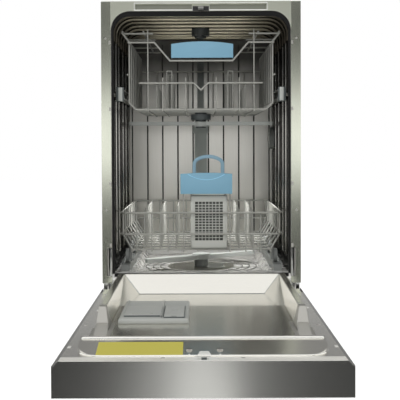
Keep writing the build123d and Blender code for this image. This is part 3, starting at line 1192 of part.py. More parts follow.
for x in LOW_LONG:
    front_top = 424 if x in (-41, 66) else LOW_TOP
    lower.append(wire(
        [(x, RACK_FRONT - 0.5, front_top), (x, RACK_FRONT - 0.5, low_fill),
         (x, LOW_BACK + 0.5, low_fill), (x, LOW_BACK + 0.5, LOW_TOP)], FILL_WIRE,
    ))
for x in (-8, 40):
    lower.append(wire([(x, LOW_CROSS[0] - 2, low_fill), (x, LOW_BACK + 0.5, low_fill),
                       (x, LOW_BACK + 0.5, LOW_TOP)], FILL_WIRE))
for x in (-133, -96, -59, 88, 120):
    for i in range(7):
        depth = LOW_CROSS[i] + (WIRE + FILL_WIRE) / 2
        lower.append(wire([(x, depth, LOW_BOTTOM - 1), (x, depth + 6, LOW_BOTTOM + 92)], FILL_WIRE))
parts["lower_rack_wires"] = solids_of(lower)

LOW_GRIP_X = (-48.0, 71.0)
LOW_GRIP_Z = (385.0, 431.0)
LOW_GRIP_FRONT = 42.0
low_middle = (LOW_GRIP_X[0] + LOW_GRIP_X[1]) / 2
low_outline = make_face(
    Polyline(
        (LOW_GRIP_X[0], 0, LOW_GRIP_Z[1]), (LOW_GRIP_X[0], 0, LOW_GRIP_Z[0]),
        (LOW_GRIP_X[1], 0, LOW_GRIP_Z[0]), (LOW_GRIP_X[1], 0, LOW_GRIP_Z[1]),
    )
    + ThreePointArc(
        (LOW_GRIP_X[1], 0, LOW_GRIP_Z[1]), (low_middle, 0, LOW_GRIP_Z[1] + 2.5),
        (LOW_GRIP_X[0], 0, LOW_GRIP_Z[1])
    )
)
lower_grip = Pos(0, FRONT + LOW_GRIP_FRONT, 0) * extrude(low_outline, 12, dir=(0, 1, 0))
lower_grip -= block(
    (LOW_GRIP_X[0] + 3, LOW_GRIP_X[1] - 3), (LOW_GRIP_FRONT + 3, LOW_GRIP_FRONT + 16),
    (LOW_GRIP_Z[0] - 1, LOW_GRIP_Z[1] - 4),
)
for x in (-41, 66):
    lower_grip += block((x - 3, x + 2.5), (LOW_GRIP_FRONT + 2, RACK_FRONT - 2), (LOW_GRIP_Z[0], 428))
parts["lower_rack_handle"] = lower_grip

# Wheels of the lower rack and the plastic carriers that hold them
WHEEL_DEPTHS = (93.0, 267.0, 441.0)
WHEEL_PIN = 7.0
wheel_height = RAIL_TOP + RUNNING_GAP + WHEEL_DIAMETER / 2
wheel_inner = WHEEL_X - WHEEL_WIDTH / 2
carriers = []
for side in (-1, 1):
    for depth in WHEEL_DEPTHS:
        carrier = block(
            sorted((side * (LOW_FOOT + WIRE / 2), side * (wheel_inner - 0.8))),
            (depth - 14, depth + 14), (wheel_height - 9, LOW_BOTTOM + 8),
        )
        carrier += rod_x(
            (side * (wheel_inner - 4), side * (WHEEL_X + WHEEL_WIDTH / 2 + 1)), depth,
            wheel_height, WHEEL_PIN,
        )
        carriers.append(carrier)
parts["wheel_carriers"] = solids_of(carriers)
WHEEL_BORE = WHEEL_PIN + 2 * PIN_CLEARANCE
for name, depth in zip(("front", "middle", "rear"), WHEEL_DEPTHS):
    parts["lower_wheels_" + name] = solids_of(
        roller(depth, wheel_inner, WHEEL_DIAMETER, WHEEL_WIDTH, WHEEL_BORE, wheel_height)
    )

# Cutlery basket: open-topped, with slotted walls, and its blue loop handle
BASKET_X = (-25.0, 60.0)
BASKET_DEPTH = (56.0, 236.0)
BASKET_Z = (257.3, 380.0)
BASKET_WALL = 2.5
basket = block(BASKET_X, BASKET_DEPTH, BASKET_Z)
basket -= block(
    (BASKET_X[0] + BASKET_WALL, BASKET_X[1] - BASKET_WALL),
    (BASKET_DEPTH[0] + BASKET_WALL, BASKET_DEPTH[1] - BASKET_WALL),
    (BASKET_Z[0] + BASKET_WALL, BASKET_Z[1] + 1),
)
basket += block(
    (BASKET_X[0] + 1, BASKET_X[1] - 1),
    (sum(BASKET_DEPTH) / 2 - 1.5, sum(BASKET_DEPTH) / 2 + 1.5), (BASKET_Z[0] + 1, BASKET_Z[1]),
)
SLOTS = 5
slot_pitch = 14.0
for i in range(SLOTS):
    x = (BASKET_X[0] + BASKET_X[1]) / 2 + (i - (SLOTS - 1) / 2) * slot_pitch
    for depth in BASKET_DEPTH:
        basket -= block((x - 4, x + 4), (depth - 5, depth + 5), (BASKET_Z[0] + 25, BASKET_Z[1] - 14))
parts["cutlery_basket"] = basket
LOOP_X = (-17.0, 52.0)
LOOP_TOP = 470.0
loop_depth = sum(BASKET_DEPTH) / 2
loop_middle = sum(LOOP_X) / 2
outer_face = make_face(
    Polyline((LOOP_X[1] + 4, 0, 436), (LOOP_X[1] + 4, 0, 380), (LOOP_X[0] - 4, 0, 380),
             (LOOP_X[0] - 4, 0, 436))
    + ThreePointArc((LOOP_X[0] - 4, 0, 436), (loop_middle, 0, LOOP_TOP + 4), (LOOP_X[1] + 4, 0, 436))
)
inner_face = make_face(
    Polyline((LOOP_X[1] - 4, 0, 434), (LOOP_X[1] - 4, 0, 388), (LOOP_X[0] + 4, 0, 388),
             (LOOP_X[0] + 4, 0, 434))
    + ThreePointArc((LOOP_X[0] + 4, 0, 434), (loop_middle, 0, LOOP_TOP - 5), (LOOP_X[1] - 4, 0, 434))
)
loop = extrude(outer_face - inner_face, 10, dir=(0, 1, 0))
parts["basket_handle"] = Pos(0, FRONT + loop_depth - 5, 0) * loop

os.makedirs("parts", exist_ok=True)
for name, shape in parts.items():
    export_step(shape, "parts/" + name + ".step")
print(len(parts), "nodes")
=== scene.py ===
import math

import bpy
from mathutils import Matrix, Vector


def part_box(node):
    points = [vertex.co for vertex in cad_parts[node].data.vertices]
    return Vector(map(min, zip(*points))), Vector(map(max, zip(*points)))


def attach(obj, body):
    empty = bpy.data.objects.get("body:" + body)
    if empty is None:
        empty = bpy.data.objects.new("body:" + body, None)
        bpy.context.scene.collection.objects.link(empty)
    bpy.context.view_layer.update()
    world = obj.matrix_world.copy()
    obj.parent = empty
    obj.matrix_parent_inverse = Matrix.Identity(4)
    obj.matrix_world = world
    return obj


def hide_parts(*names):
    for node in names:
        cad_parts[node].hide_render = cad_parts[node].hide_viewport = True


bl_info = {
    "name": "Slim Dishwasher",
    "version": (1, 0, 0),
    "blender": (4, 5, 0),
    "location": "View3D > Sidebar > Dishwasher",
    "description": "Dresses a slim built-in dishwasher with its door lowered",
    "category": "Object",
}

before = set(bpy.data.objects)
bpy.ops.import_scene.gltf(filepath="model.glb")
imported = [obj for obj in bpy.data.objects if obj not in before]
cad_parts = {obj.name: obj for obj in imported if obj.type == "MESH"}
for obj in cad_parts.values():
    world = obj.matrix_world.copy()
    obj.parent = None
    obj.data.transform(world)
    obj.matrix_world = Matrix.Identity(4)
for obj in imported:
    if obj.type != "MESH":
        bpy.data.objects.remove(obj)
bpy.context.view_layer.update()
MM = 0.001

# Where depth and reach are measured from, in metres
CABINET_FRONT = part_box("casing_left")[0].y

# The sloping top of the door's end bar, as reach and height in millimetres
BAR_NEAR, BAR_HIGH = 584.0, 195.5
BAR_FAR, BAR_LOW = 657.0, 181.3
BAR_SLOPE = math.atan2(BAR_HIGH - BAR_LOW, BAR_FAR - BAR_NEAR)

# How far the tub's side walls stand from the middle
TUB_WALL = 201 * MM

# How thick the basket's walls are
BASKET_WALL = 2.4 * MM

# Where the bosses and posts beside the striker stand, in millimetres across
STRIKER_SIDES = (-21, 26)


# Shader sums written as Python expressions
class Value:
    """A shader socket that takes part in plain sums."""

    def __init__(self, tree, socket):
        self.tree = tree
        self.socket = socket

    def __add__(self, other):
        return self.tree.math("ADD", self, other)

    __radd__ = __add__

    def __sub__(self, other):
        return self.tree.math("SUBTRACT", self, other)

    def __rsub__(self, other):
        return self.tree.math("SUBTRACT", other, self)

    def __mul__(self, other):
        return self.tree.math("MULTIPLY", self, other)

    def __truediv__(self, other):
        return self.tree.math("DIVIDE", self, other)

    def above(self, other):
        return self.tree.math("GREATER_THAN", self, other)

    def below(self, other):
        return self.tree.math("LESS_THAN", self, other)


class ShaderTree:
    """A tree of shader nodes, built node by node."""

    def __init__(self, tree):
        self.tree = tree
        self.tree.nodes.clear()

    def node(self, kind, settings=None, sockets=None, out=0):
        """A node with its settings made first, then the values or links of its sockets."""
        made = self.tree.nodes.new(kind)
        for key, value in (settings or {}).items():
            if key == "stops":
                ramp = made.color_ramp
                while len(ramp.elements) < len(value):
                    ramp.elements.new(1.0)
                for element, (place, colour) in zip(ramp.elements, value):
                    element.position = place
                    element.color = (*colour, 1.0)
            else:
                setattr(made, key, value)
        for key, value in (sockets or {}).items():
            if isinstance(value, Value):
                self.tree.links.new(value.socket, made.inputs[key])
            else:
                made.inputs[key].default_value = value
        return Value(self, made.outputs[out]) if made.outputs else None

    def math(self, operation, *terms):
        """A Math node on one or two terms."""
        return self.node("ShaderNodeMath", {"operation": operation}, dict(enumerate(terms)))

    def rise(self, value, start, end):
        """0 up to start, 1 from end on, and even in between."""
        return self.node("ShaderNodeMapRange", {"clamp": True},
                         {"Value": value, "From Min": start, "From Max": end})

    def seen(self):
        """1 for what the camera, metal and glass see, and 0 for the light on the object."""
        path = self.node("ShaderNodeLightPath").socket.node
        camera, glossy, through = (
            Value(self, path.outputs["Is " + ray + " Ray"])
            for ray in ("Camera", "Glossy", "Transmission"))
        return self.math("MAXIMUM", self.math("MAXIMUM", camera, glossy), through)

    def close(self, shader, kind="ShaderNodeOutputMaterial"):
        """Ends the tree with its output."""
        self.node(kind, {}, {"Surface": shader})


class Finish(ShaderTree):
    """One procedural material on Object coordinates."""

    def __init__(self, name):
        self.material = bpy.data.materials.new(name)
        self.material.use_nodes = True
        super().__init__(self.material.node_tree)

    def place(self, scale=(1, 1, 1)):
        """The point on the object, in metres, stretched by scale."""
        point = self.node("ShaderNodeTexCoord", out=3)
        return self.node("ShaderNodeMapping", {}, {"Vector": point, "Scale": scale})

    def axis(self, index):
        """One coordinate of the point on the object."""
        return self.node("ShaderNodeSeparateXYZ", {}, {0: self.place()}, out=index)

    def from_middle(self, index):
        """How far the point is from the middle along one axis."""
        return self.math("ABSOLUTE", self.axis(index))

    def noise(self, scale, stretch=(1, 1, 1), detail=3.0, rough=0.55):
        """Soft random patches between 0 and 1."""
        return self.node(
            "ShaderNodeTexNoise", {},
            {"Vector": self.place(stretch), "Scale": scale, "Detail": detail,
             "Roughness": rough},
        )

    def mix(self, factor, a, b):
        """A colour between a and b."""
        full = [c if isinstance(c, Value) else (*c, 1.0) for c in (a, b)]
        return self.node(
            "ShaderNodeMix", {"data_type": "RGBA"}, {0: factor, 6: full[0], 7: full[1]}, out=2
        )

    def bump(self, height, distance, strength=1.0, edge=0.0):
        """A normal bent by height, on edges rounded to a radius."""
        sockets = {"Height": height, "Distance": distance, "Strength": strength}
        if edge:
            sockets["Normal"] = self.node("ShaderNodeBevel", {"samples": 4}, {"Radius": edge})
        return self.node("ShaderNodeBump", {}, sockets)

    def done(self, **sockets):
        """The material, ended with one Principled shader."""
        named = {key.replace("_", " "): value for key, value in sockets.items()}
        self.close(self.node("ShaderNodeBsdfPrincipled", {}, named))
        return self.material


def tint(colour, level, lift=0.0):
    """A colour made darker or paler."""
    return [min(1.0, c * level + lift) for c in colour]


# Finishes, one function for each kind
def pressed_grooves(f, spacing):
    """1 in the upright grooves of a sheet, which stop short of its foot and top."""
    half_width, foot, top = 1.9 * MM, 250 * MM, 780 * MM
    across = f.math("ABSOLUTE", f.math("FRACT", f.axis(0) / spacing) - 0.5)
    height = f.axis(2)
    return across.below(half_width / spacing) * (height.above(foot) * height.below(top))


def ridge_end_strips(f):
    """1 on two short strips over the ends of the liner's side ridges."""
    inner, outer, near, far = 150 * MM, 190 * MM, 450 * MM, 556 * MM
    side = f.from_middle(0)
    depth = f.axis(1)
    return (side.above(inner) * side.below(outer)
            * depth.below(CABINET_FRONT - near) * depth.above(CABINET_FRONT - far))


def rolled_steel(name, colour, rough, grain, edge=1.2 * MM, streak=0.10, smudge=0.10,
                 band=None, wave=0.0, ripple=7.0, groove=0.0, dark_ridge_ends=False, edge_tint=1.0,
                 metallic=1.0, fade=None):
    """Sheet steel with a rolled grain, faint handling marks and any pressed bands.

    band is (axis, spacing, depth) of shallow swages, wave the depth of a warp that repeats
    ripple times a metre, groove the spacing of pressed grooves darkened with painted shade,
    dark_ridge_ends darkens and dulls two short strips over the ends of the liner's side
    ridges, and fade (axis, start, end, level) paints shade that darkens the sheet to a level
    between two distances, or a painted highlight that turns it pale and matt if the level is
    above 1.
    """
    f = Finish(name)
    fine = f.noise(1.0, grain, detail=4.0, rough=0.7)
    marks = f.noise(9.0, detail=4.0, rough=0.6)
    tone = f.mix(fine, tint(colour, 1 - streak), tint(colour, 1 + streak))
    worn = f.mix(marks * smudge, tone, tint(colour, 0.7))
    dull = marks * smudge * 0.7
    if groove:
        # Painted shade: the pressed grooves darkened almost to black and made duller.
        groove_shade = pressed_grooves(f, groove)
        worn = f.mix(groove_shade, worn, tint(colour, 0.12))
        dull = dull + groove_shade * 0.3
    if dark_ridge_ends:
        # Darker and duller on two short strips over the side ridges' ends.
        ridge_strip = ridge_end_strips(f)
        worn = f.mix(ridge_strip * 0.8, worn, tint(colour, 0.5))
        dull = dull + ridge_strip * 0.25
    if fade:
        # Painted shade darkens the sheet between two distances; a level above 1 paints a
        # highlight, paler and less metallic.
        axis, start, end, level = fade
        share = f.rise(f.from_middle(axis), start, end) * (0.75 + marks * 0.5)
        worn = f.mix(share, worn, tint(colour, level))
        dull = dull + share * 0.1
        if level > 1:
            metallic = metallic - share * 0.6
    height = (fine * 0.6 + marks * 0.4) * (0.02 * MM)
    if wave:
        height = height + f.noise(ripple, detail=1.5) * wave
    if band:
        axis, spacing, depth = band
        height = height + f.math("SINE", f.axis(axis) * (math.tau / spacing)) * depth
    return f.done(
        Base_Color=worn, Metallic=metallic,
        Roughness=rough - 0.05 + fine * 0.08 + dull,
        Specular_Tint=(edge_tint, edge_tint, edge_tint, 1.0),
        Normal=f.bump(height, 1.0, 1.0, edge),
    )


def moulded(name, colour, rough, grain=0.04, edge=0.6 * MM, coat=0.0, scuff=0.12):
    """Moulded plastic with a fine spark texture and slightly paler, scuffed places."""
    f = Finish(name)
    spark = f.noise(1600.0, detail=2.0)
    patch = f.noise(22.0, detail=3.0)
    return f.done(
        Base_Color=f.mix(patch * scuff + spark * 0.06, colour, tint(colour, 1.25, 0.015)),
        Roughness=rough + (patch - 0.5) * 0.12 + (spark - 0.5) * 0.06,
        Coat_Weight=coat,
        Normal=f.bump(spark, grain * MM, 0.4, edge),
    )


def feed_plastic(name, low_colour, high_colour):
    """The feed column's plastic: chalky patches, pale low down and dark at the top."""
    f = Finish(name)
    chalk = f.noise(60.0, (1, 1, 0.1), detail=4.0)
    tone = f.mix(f.rise(f.axis(2), 620 * MM, 700 * MM), low_colour, high_colour)
    return f.done(
        Base_Color=f.mix(chalk * 0.3, tone, tint(low_colour, 1.3)),
        Roughness=0.3 + chalk * 0.15, Normal=f.bump(chalk, 0.1 * MM, 0.4, 1 * MM),
    )


def painted(name, colour, rough, edge=0.8 * MM):
    """Sprayed metallic paint with a faint orange peel and cloudy patches."""
    f = Finish(name)
    peel = f.noise(420.0, detail=2.0)
    cloud = f.noise(6.0, detail=3.0)
    return f.done(
        Base_Color=f.mix(cloud * 0.35, colour, tint(colour, 0.8)),
        Metallic=0.94, Roughness=rough + (cloud - 0.5) * 0.1, Coat_Weight=0.1,
        Normal=f.bump(peel, 0.03 * MM, 0.12, edge),
    )


def rubber(name, colour, rough):
    """Black rubber with a dull grain and a little dust."""
    f = Finish(name)
    grain = f.noise(900.0, detail=3.0)
    dust = f.noise(40.0, detail=4.0)
    return f.done(
        Base_Color=f.mix(dust * 0.4, colour, tint(colour, 2.2, 0.01)),
        Roughness=rough + (dust - 0.5) * 0.15, Specular_IOR_Level=0.15,
        Normal=f.bump(grain, 0.06 * MM, 0.5, 1.5 * MM),
    )


def pressed_felt(name, colour):
    """Felt of short fibres pressed into clumps."""
    f = Finish(name)
    fibre = f.noise(700.0, (1, 1, 0.35), detail=6.0, rough=0.75)
    clump = f.noise(60.0, detail=3.0)
    return f.done(
        Base_Color=f.mix(fibre, tint(colour, 0.6), tint(colour, 1.5)),
        Roughness=0.95, Sheen_Weight=0.3,
        Normal=f.bump(fibre * 0.7 + clump * 0.3, 0.6 * MM, 0.8),
    )


def coated_wire(name, colour):
    """Nylon dipped wire: even, a little glossy, thicker and paler in patches."""
    f = Finish(name)
    dip = f.noise(55.0, detail=3.0)
    return f.done(
        Base_Color=f.mix(dip, tint(colour, 0.85), tint(colour, 1.15)),
        Metallic=0.3, Roughness=0.32 + (dip - 0.5) * 0.14, Coat_Weight=0.25,
        Normal=f.bump(dip, 0.15 * MM, 0.4, 1.2 * MM),
    )


def filter_mesh(name, colour):
    """Fine pierced sheet: round holes on a grid, seen as dark dots."""
    f = Finish(name)
    cells = f.node(
        "ShaderNodeTexVoronoi", {"feature": "F1"},
        {"Vector": f.place(), "Scale": 420.0, "Randomness": 0.0},
    )
    hole = cells.below(0.28)
    return f.done(
        Base_Color=f.mix(hole, colour, (0.03, 0.03, 0.03)), Metallic=1 - hole * 0.9,
        Roughness=0.3 + hole * 0.4, Normal=f.bump(1 - hole, 0.2 * MM, 0.6),
    )


def paper_label(name, colour):
    """Printed paper with a fine fibre, paler where it has faded."""
    f = Finish(name)
    fibre = f.noise(500.0, detail=4.0)
    faded = f.noise(12.0, detail=2.0)
    return f.done(
        Base_Color=f.mix(faded * 0.3 + fibre * 0.1, colour, tint(colour, 1.2, 0.03)),
        Roughness=0.5 + fibre * 0.15, Normal=f.bump(fibre, 0.02 * MM, 0.4),
    )


FINISHES = {}


def make_steels(steel, door):
    """The sheet metals of the tub, the door and the small fittings."""
    upright = (30, 30, 900)
    even = (300, 300, 300)
    warm_highlight = [min(1.0, c * k) for c, k in zip(steel, (1.25, 1.14, 0.95))]
    FINISHES.update({
        # Painted shade: the walls and ceiling in a dark copy of the tub steel, with dark
        # reflections.
        "wall_shade_steel": rolled_steel(
            "Tub wall steel", tint(steel, 0.3), 0.18, upright, 2 * MM,
            band=(1, 30 * MM, 0.35 * MM), edge_tint=0.08),
        # Painted shade: beads in a darker copy of the tub steel, with dark reflections, darker
        # still towards the top.
        "bead_shade_steel": rolled_steel(
            "Side bead steel", tint(steel, 0.6), 0.16, upright, 0, edge_tint=0.3,
            fade=(2, 560 * MM, 690 * MM, 0.3)),
        # Painted highlight: a paler copy of the tub steel for the beads, ridge and lip that catch
        # the light.
        "bead_highlight_steel": rolled_steel(
            "Pressed bead steel", tint(steel, 1.22), 0.14, upright, 0),
        # Painted highlight: a warm, paler copy of the tub steel, with painted shade darkening the
        # beads towards the sides.
        "ceiling_bead": rolled_steel(
            "Ceiling bead steel", warm_highlight, 0.16, upright, 0, smudge=0.6, edge_tint=0.85,
            fade=(0, 70 * MM, 190 * MM, 0.1)),
        # Painted shade in the pressed grooves, and darkening the back towards the top.
        "back_steel": rolled_steel(
            "Tub back steel", tint(steel, 1.03), 0.3, (700, 60, 12), 1.5 * MM,
            wave=1.5 * MM, groove=43 * MM, fade=(2, 620 * MM, 740 * MM, 0.16)),
        # Painted light: a paler, half-matt copy of the tub steel keeps the floor bright.
        "floor_lit_steel": rolled_steel(
            "Tub floor steel", tint(steel, 1.27), 0.1, (160, 40, 90), 5 * MM, smudge=0.1,
            wave=9 * MM, ripple=22, metallic=0.5),
        # Painted highlight: the flange past the end bar turned pale and matt.
        "liner_steel": rolled_steel(
            "Door liner steel", tint(steel, 1.1), 0.18, (14, 900, 60), 3 * MM, streak=0.05,
            dark_ridge_ends=True, fade=(1, 588 * MM, 592 * MM, 1.12)),
        "panel_steel": rolled_steel(
            "Brushed door steel", door, 0.18, (4, 500, 1700), 1 * MM),
        "plated_steel": rolled_steel(
            "Zinc plated steel", (0.58, 0.57, 0.53), 0.34, even, 0.6 * MM),
        "rail_steel": rolled_steel(
            "Rail steel", (0.62, 0.62, 0.6), 0.28, (300, 12, 300), 0.5 * MM),
        "screw_steel": rolled_steel(
            "Screw steel", (0.7, 0.69, 0.66), 0.25, (400, 400, 400), 0.3 * MM),
        "filter_steel": filter_mesh("Pierced filter steel", (0.72, 0.7, 0.64)),
    })


def make_coatings(casing, wire, label):
    """The paints, the rubbers, the felt, the wire's coat and the label."""
    FINISHES.update({
        "casing_paint": painted("Grey-green casing paint", casing, 0.19),
        "rail_paint": painted("Grey-green rail paint", tint(casing, 1.32), 0.3),
        "recess_paint": painted("Shaded recess paint", tint(casing, 0.56), 0.5),
        "kick_paint": painted("Black kick paint", (0.025, 0.025, 0.025), 0.5),
        "seal_rubber": rubber("Black door seal", (0.008, 0.008, 0.008), 0.5),
        "damping_rubber": rubber("Damping sheet", (0.03, 0.03, 0.03), 0.8),
        "felt": pressed_felt("Pressed felt", (0.09, 0.085, 0.075)),
        "wire": coated_wire("Grey coated wire", wire),
        "label": paper_label("Blank yellow label", label),
    })


def make_plastics(grips):
    """The moulded pieces' plastics."""
    FINISHES.update({
        "blue": moulded("Blue grip plastic", grips, 0.38, coat=0.15),
        "loop_blue": moulded("Blue loop plastic", tint(grips, 0.8, 0.115), 0.38, coat=0.15),
        "highlight_blue": moulded("Pale blue highlight plastic", tint(grips, 1.5), 0.3, coat=0.3),
        "basket": moulded("Grey basket plastic", (0.52, 0.53, 0.49), 0.45),
        "basket_shade": moulded("Basket divider plastic with painted shade", (0.12, 0.125, 0.11), 0.5),
        "grey": moulded("Grey runner plastic", (0.22, 0.23, 0.22), 0.4),
        "arm": moulded("Grey spray arm plastic", (0.55, 0.57, 0.54), 0.4),
        "dispenser": moulded("Grey dispenser plastic", (0.42, 0.43, 0.405), 0.4, edge=1 * MM),
        "white": moulded("White latch plastic", (0.72, 0.72, 0.68), 0.38),
        # Painted highlight: a near white for the rim of the top rail's recess.
        "recess_highlight_white": moulded("Recess edge highlight", (0.97, 0.97, 0.94), 0.3, coat=0.3),
        "dark": moulded("Dark feed plastic", (0.10, 0.115, 0.115), 0.35),
        "column": feed_plastic("Feed column plastic", (0.48, 0.52, 0.49), (0.03, 0.035, 0.035)),
        "tongue": moulded("Latch tongue plastic", (0.35, 0.35, 0.33), 0.38),
        "black": moulded("Black plastic", (0.02, 0.02, 0.02), 0.35),
        "base": moulded("Base tray plastic", (0.14, 0.14, 0.14), 0.55),
        "gloss": moulded("Gloss black control plastic", (0.012, 0.012, 0.013), 0.12,
                         grain=0.01, coat=0.6),
    })


def dress(finish, *nodes):
    """Gives CAD nodes their finish, and leaves their shape alone."""
    for name in nodes:
        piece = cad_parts[name]
        if not piece.material_slots:
            piece.data.materials.append(FINISHES[finish])
        for slot in piece.material_slots:
            slot.material = FINISHES[finish]


# Modelling steps shared by the pieces
def deselect():
    """Object mode with nothing selected."""
    if bpy.context.object and bpy.context.object.mode != "OBJECT":
        bpy.ops.object.mode_set(mode="OBJECT")
    bpy.ops.object.select_all(action="DESELECT")


def pick(piece):
    """Selects one piece alone."""
    deselect()
    piece.select_set(True)
    bpy.context.view_layer.objects.active = piece


def joined(pieces):
    """The pieces as one object."""
    deselect()
    for piece in pieces:
        piece.select_set(True)
    bpy.context.view_layer.objects.active = pieces[0]
    if len(pieces) > 1:
        bpy.ops.object.join()
    return bpy.context.object


def apply_place():
    """Puts the active object's place, turn and size into its mesh."""
    bpy.ops.object.transform_apply(location=True, rotation=True, scale=True)


def apply_modifier(piece, kind, **settings):
    """Adds a modifier with its settings, and applies it."""
    pick(piece)
    modifier = piece.modifiers.new(kind.title(), kind)
    for key, value in settings.items():
        setattr(modifier, key, value)
    bpy.ops.object.modifier_apply(modifier=modifier.name)


def open_mesh():
    """Edit mode with the whole mesh selected."""
    bpy.ops.object.mode_set(mode="EDIT")
    bpy.ops.mesh.select_all(action="SELECT")


def close_mesh():
    """Object mode, after the doubles are merged and the normals turned outwards."""
    bpy.ops.mesh.select_all(action="SELECT")
    bpy.ops.mesh.remove_doubles(threshold=0.01 * MM)
    bpy.ops.mesh.normals_make_consistent(inside=False)
    bpy.ops.object.mode_set(mode="OBJECT")


def cut(place, normal, keep_inner=False):
    """Cuts the open mesh by a plane and closes it.

    It keeps the side that the normal points to, or with keep_inner the other side.
    """
    bpy.ops.mesh.select_all(action="SELECT")
    bpy.ops.mesh.bisect(plane_co=place, plane_no=normal, clear_inner=not keep_inner,
                        clear_outer=keep_inner, use_fill=True)


def extrude(step):
    """Extrudes the selected face by a step."""
    bpy.ops.mesh.extrude_region_move(TRANSFORM_OT_translate={"value": step})


def hoop(start, way, axis, run, corner):
    """Sweeps the selected face along way, round a corner, across the middle and back."""
    there = [part * run for part in way]
    x, y, z = [a + b for a, b in zip(start, there)]
    x = x + corner
    quarter = {"steps": 8, "angle": -math.pi / 2, "axis": axis}
    extrude(there)
    bpy.ops.mesh.spin(center=(x, y, z), **quarter)
    extrude((-2 * x, 0, 0))
    bpy.ops.mesh.spin(center=(-x, y, z), **quarter)
    extrude([-part for part in there])


def settle(piece, name, body, finish):
    """Puts the finished piece's place into its mesh and hangs it on its body."""
    pick(piece)
    apply_place()
    bpy.ops.object.shade_smooth_by_angle(angle=math.radians(35))
    piece.name = name
    piece.data.name = name
    piece.data.materials.clear()
    piece.data.materials.append(FINISHES[finish])
    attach(piece, body)
    return piece


def block(low, high, radius, segments=2):
    """A bar between two corners with its edges rounded."""
    middle = [(a + b) / 2 for a, b in zip(low, high)]
    size = [abs(b - a) for a, b in zip(low, high)]
    deselect()
    bpy.ops.mesh.primitive_cube_add(size=1, location=middle, scale=size)
    piece = bpy.context.object
    apply_place()
    apply_modifier(piece, "BEVEL", width=radius, segments=segments, limit_method="ANGLE")
    return piece


def disc(centre, radius, height, axis="Z", sides=24, edge=0.3 * MM):
    """A short round head, or a rod, with a softened rim."""
    turn = {"X": (0, math.pi / 2, 0), "Y": (math.pi / 2, 0, 0), "Z": (0, 0, 0)}[axis]
    deselect()
    bpy.ops.mesh.primitive_cylinder_add(
        vertices=sides, radius=radius, depth=height, location=centre, rotation=turn
    )
    piece = bpy.context.object
    apply_place()
    apply_modifier(piece, "BEVEL", width=edge, segments=2, limit_method="ANGLE")
    return piece


def round_face(place, radius, sides, turn=(0, 0, 0)):
    """A round face to be swept, with edit mode left on."""
    deselect()
    bpy.ops.mesh.primitive_circle_add(
        vertices=sides, radius=radius, fill_type="NGON", location=place, rotation=turn)
    piece = bpy.context.object
    apply_place()
    open_mesh()
    return piece


def half_round_face(place, radius):
    """A half round face with its flat on a side wall, and edit mode left on."""
    piece = round_face(place, radius, 12)
    bpy.ops.mesh.bisect(plane_co=place, plane_no=(-place[0], 0, 0), clear_inner=True)
    bpy.ops.mesh.select_all(action="SELECT")
    return piece


def row(piece, count, step):
    """The piece repeated count times at a step."""
    apply_modifier(piece, "ARRAY", count=count, use_relative_offset=False,
                   use_constant_offset=True, constant_offset_displace=step)
    return piece


def softened(node, body, finish, width, cut_below=None):
    """Replaces a CAD node by a copy with its doubles merged and its sharp edges rounded."""
    piece = bpy.data.objects.new(node + "_rounded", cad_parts[node].data.copy())
    bpy.context.scene.collection.objects.link(piece)
    pick(piece)
    open_mesh()
    bpy.ops.mesh.remove_doubles(threshold=0.005 * MM)
    bpy.ops.mesh.dissolve_limited(angle_limit=math.radians(1.0))
    if cut_below is not None:
        cut((0, 0, cut_below), (0, 0, 1))
    bpy.ops.object.mode_set(mode="OBJECT")
    apply_modifier(
        piece, "BEVEL", width=width, segments=2, limit_method="ANGLE",
        angle_limit=math.radians(32), use_clamp_overlap=True,
    )
    settle(piece, node + "_rounded", body, finish)
    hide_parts(node)


def at(x, depth, z):
    """A point from millimetres across, behind the cabinet's front, and up."""
    return (x * MM, CABINET_FRONT + depth * MM, z * MM)


def on_bar(x, reach, lift=0.0):
    """A point over the sloping top of the door's end bar, from millimetres."""
    share = (reach - BAR_NEAR) / (BAR_FAR - BAR_NEAR)
    return at(x, -reach, BAR_HIGH - share * (BAR_HIGH - BAR_LOW) + lift)


# Pieces of the tub
def floor_embossing():
    """Three raised rings round the lower spray arm's hub."""
    hub = Vector(at(0, 250, 190))
    rings = []
    for radius in (104, 122, 140):
        deselect()
        bpy.ops.mesh.primitive_torus_add(
            location=hub - Vector((0, 0, 0.4 * MM)), major_radius=radius * MM,
            minor_radius=1.6 * MM, major_segments=72, minor_segments=8,
        )
        rings.append(bpy.context.object)
        open_mesh()
        cut(hub, (0, 0, 1))
        bpy.ops.object.mode_set(mode="OBJECT")
    # The rings take the darker bead steel: painted shade along them.
    settle(joined(rings), "floor_embossing", "cabinet", "bead_shade_steel")


def ceiling_beads():
    """Half round beads up one wall, over the ceiling and down, thicker further in."""
    top, corner, foot = 797 * MM, 42 * MM, 738 * MM
    beads = []
    for depth in (24, 64, 116, 172, 236, 300, 364, 428, 480):
        start = (-TUB_WALL, CABINET_FRONT + depth * MM, foot)
        beads.append(half_round_face(start, (3.7 + depth / 240) * MM))
        hoop(start, (0, 0, 1), (0, 1, 0), top - corner - foot, corner)
        close_mesh()
    settle(joined(beads), "ceiling_beads", "cabinet", "ceiling_bead")


def wall_beads():
    """Upright half round beads on the side walls, the last right one short under the vent."""
    foot, top, under_vent = 238 * MM, 736 * MM, 320 * MM
    beads = []
    for depth in (30, 104, 176, 290, 380, 480):
        for side in (-1, 1):
            high = under_vent if side > 0 and depth > 400 else top
            start = (side * TUB_WALL, CABINET_FRONT + depth * MM, foot)
            beads.append(half_round_face(start, 2.6 * MM))
            extrude((0, 0, high - foot))
            close_mesh()
    settle(joined(beads), "wall_beads", "cabinet", "bead_shade_steel")


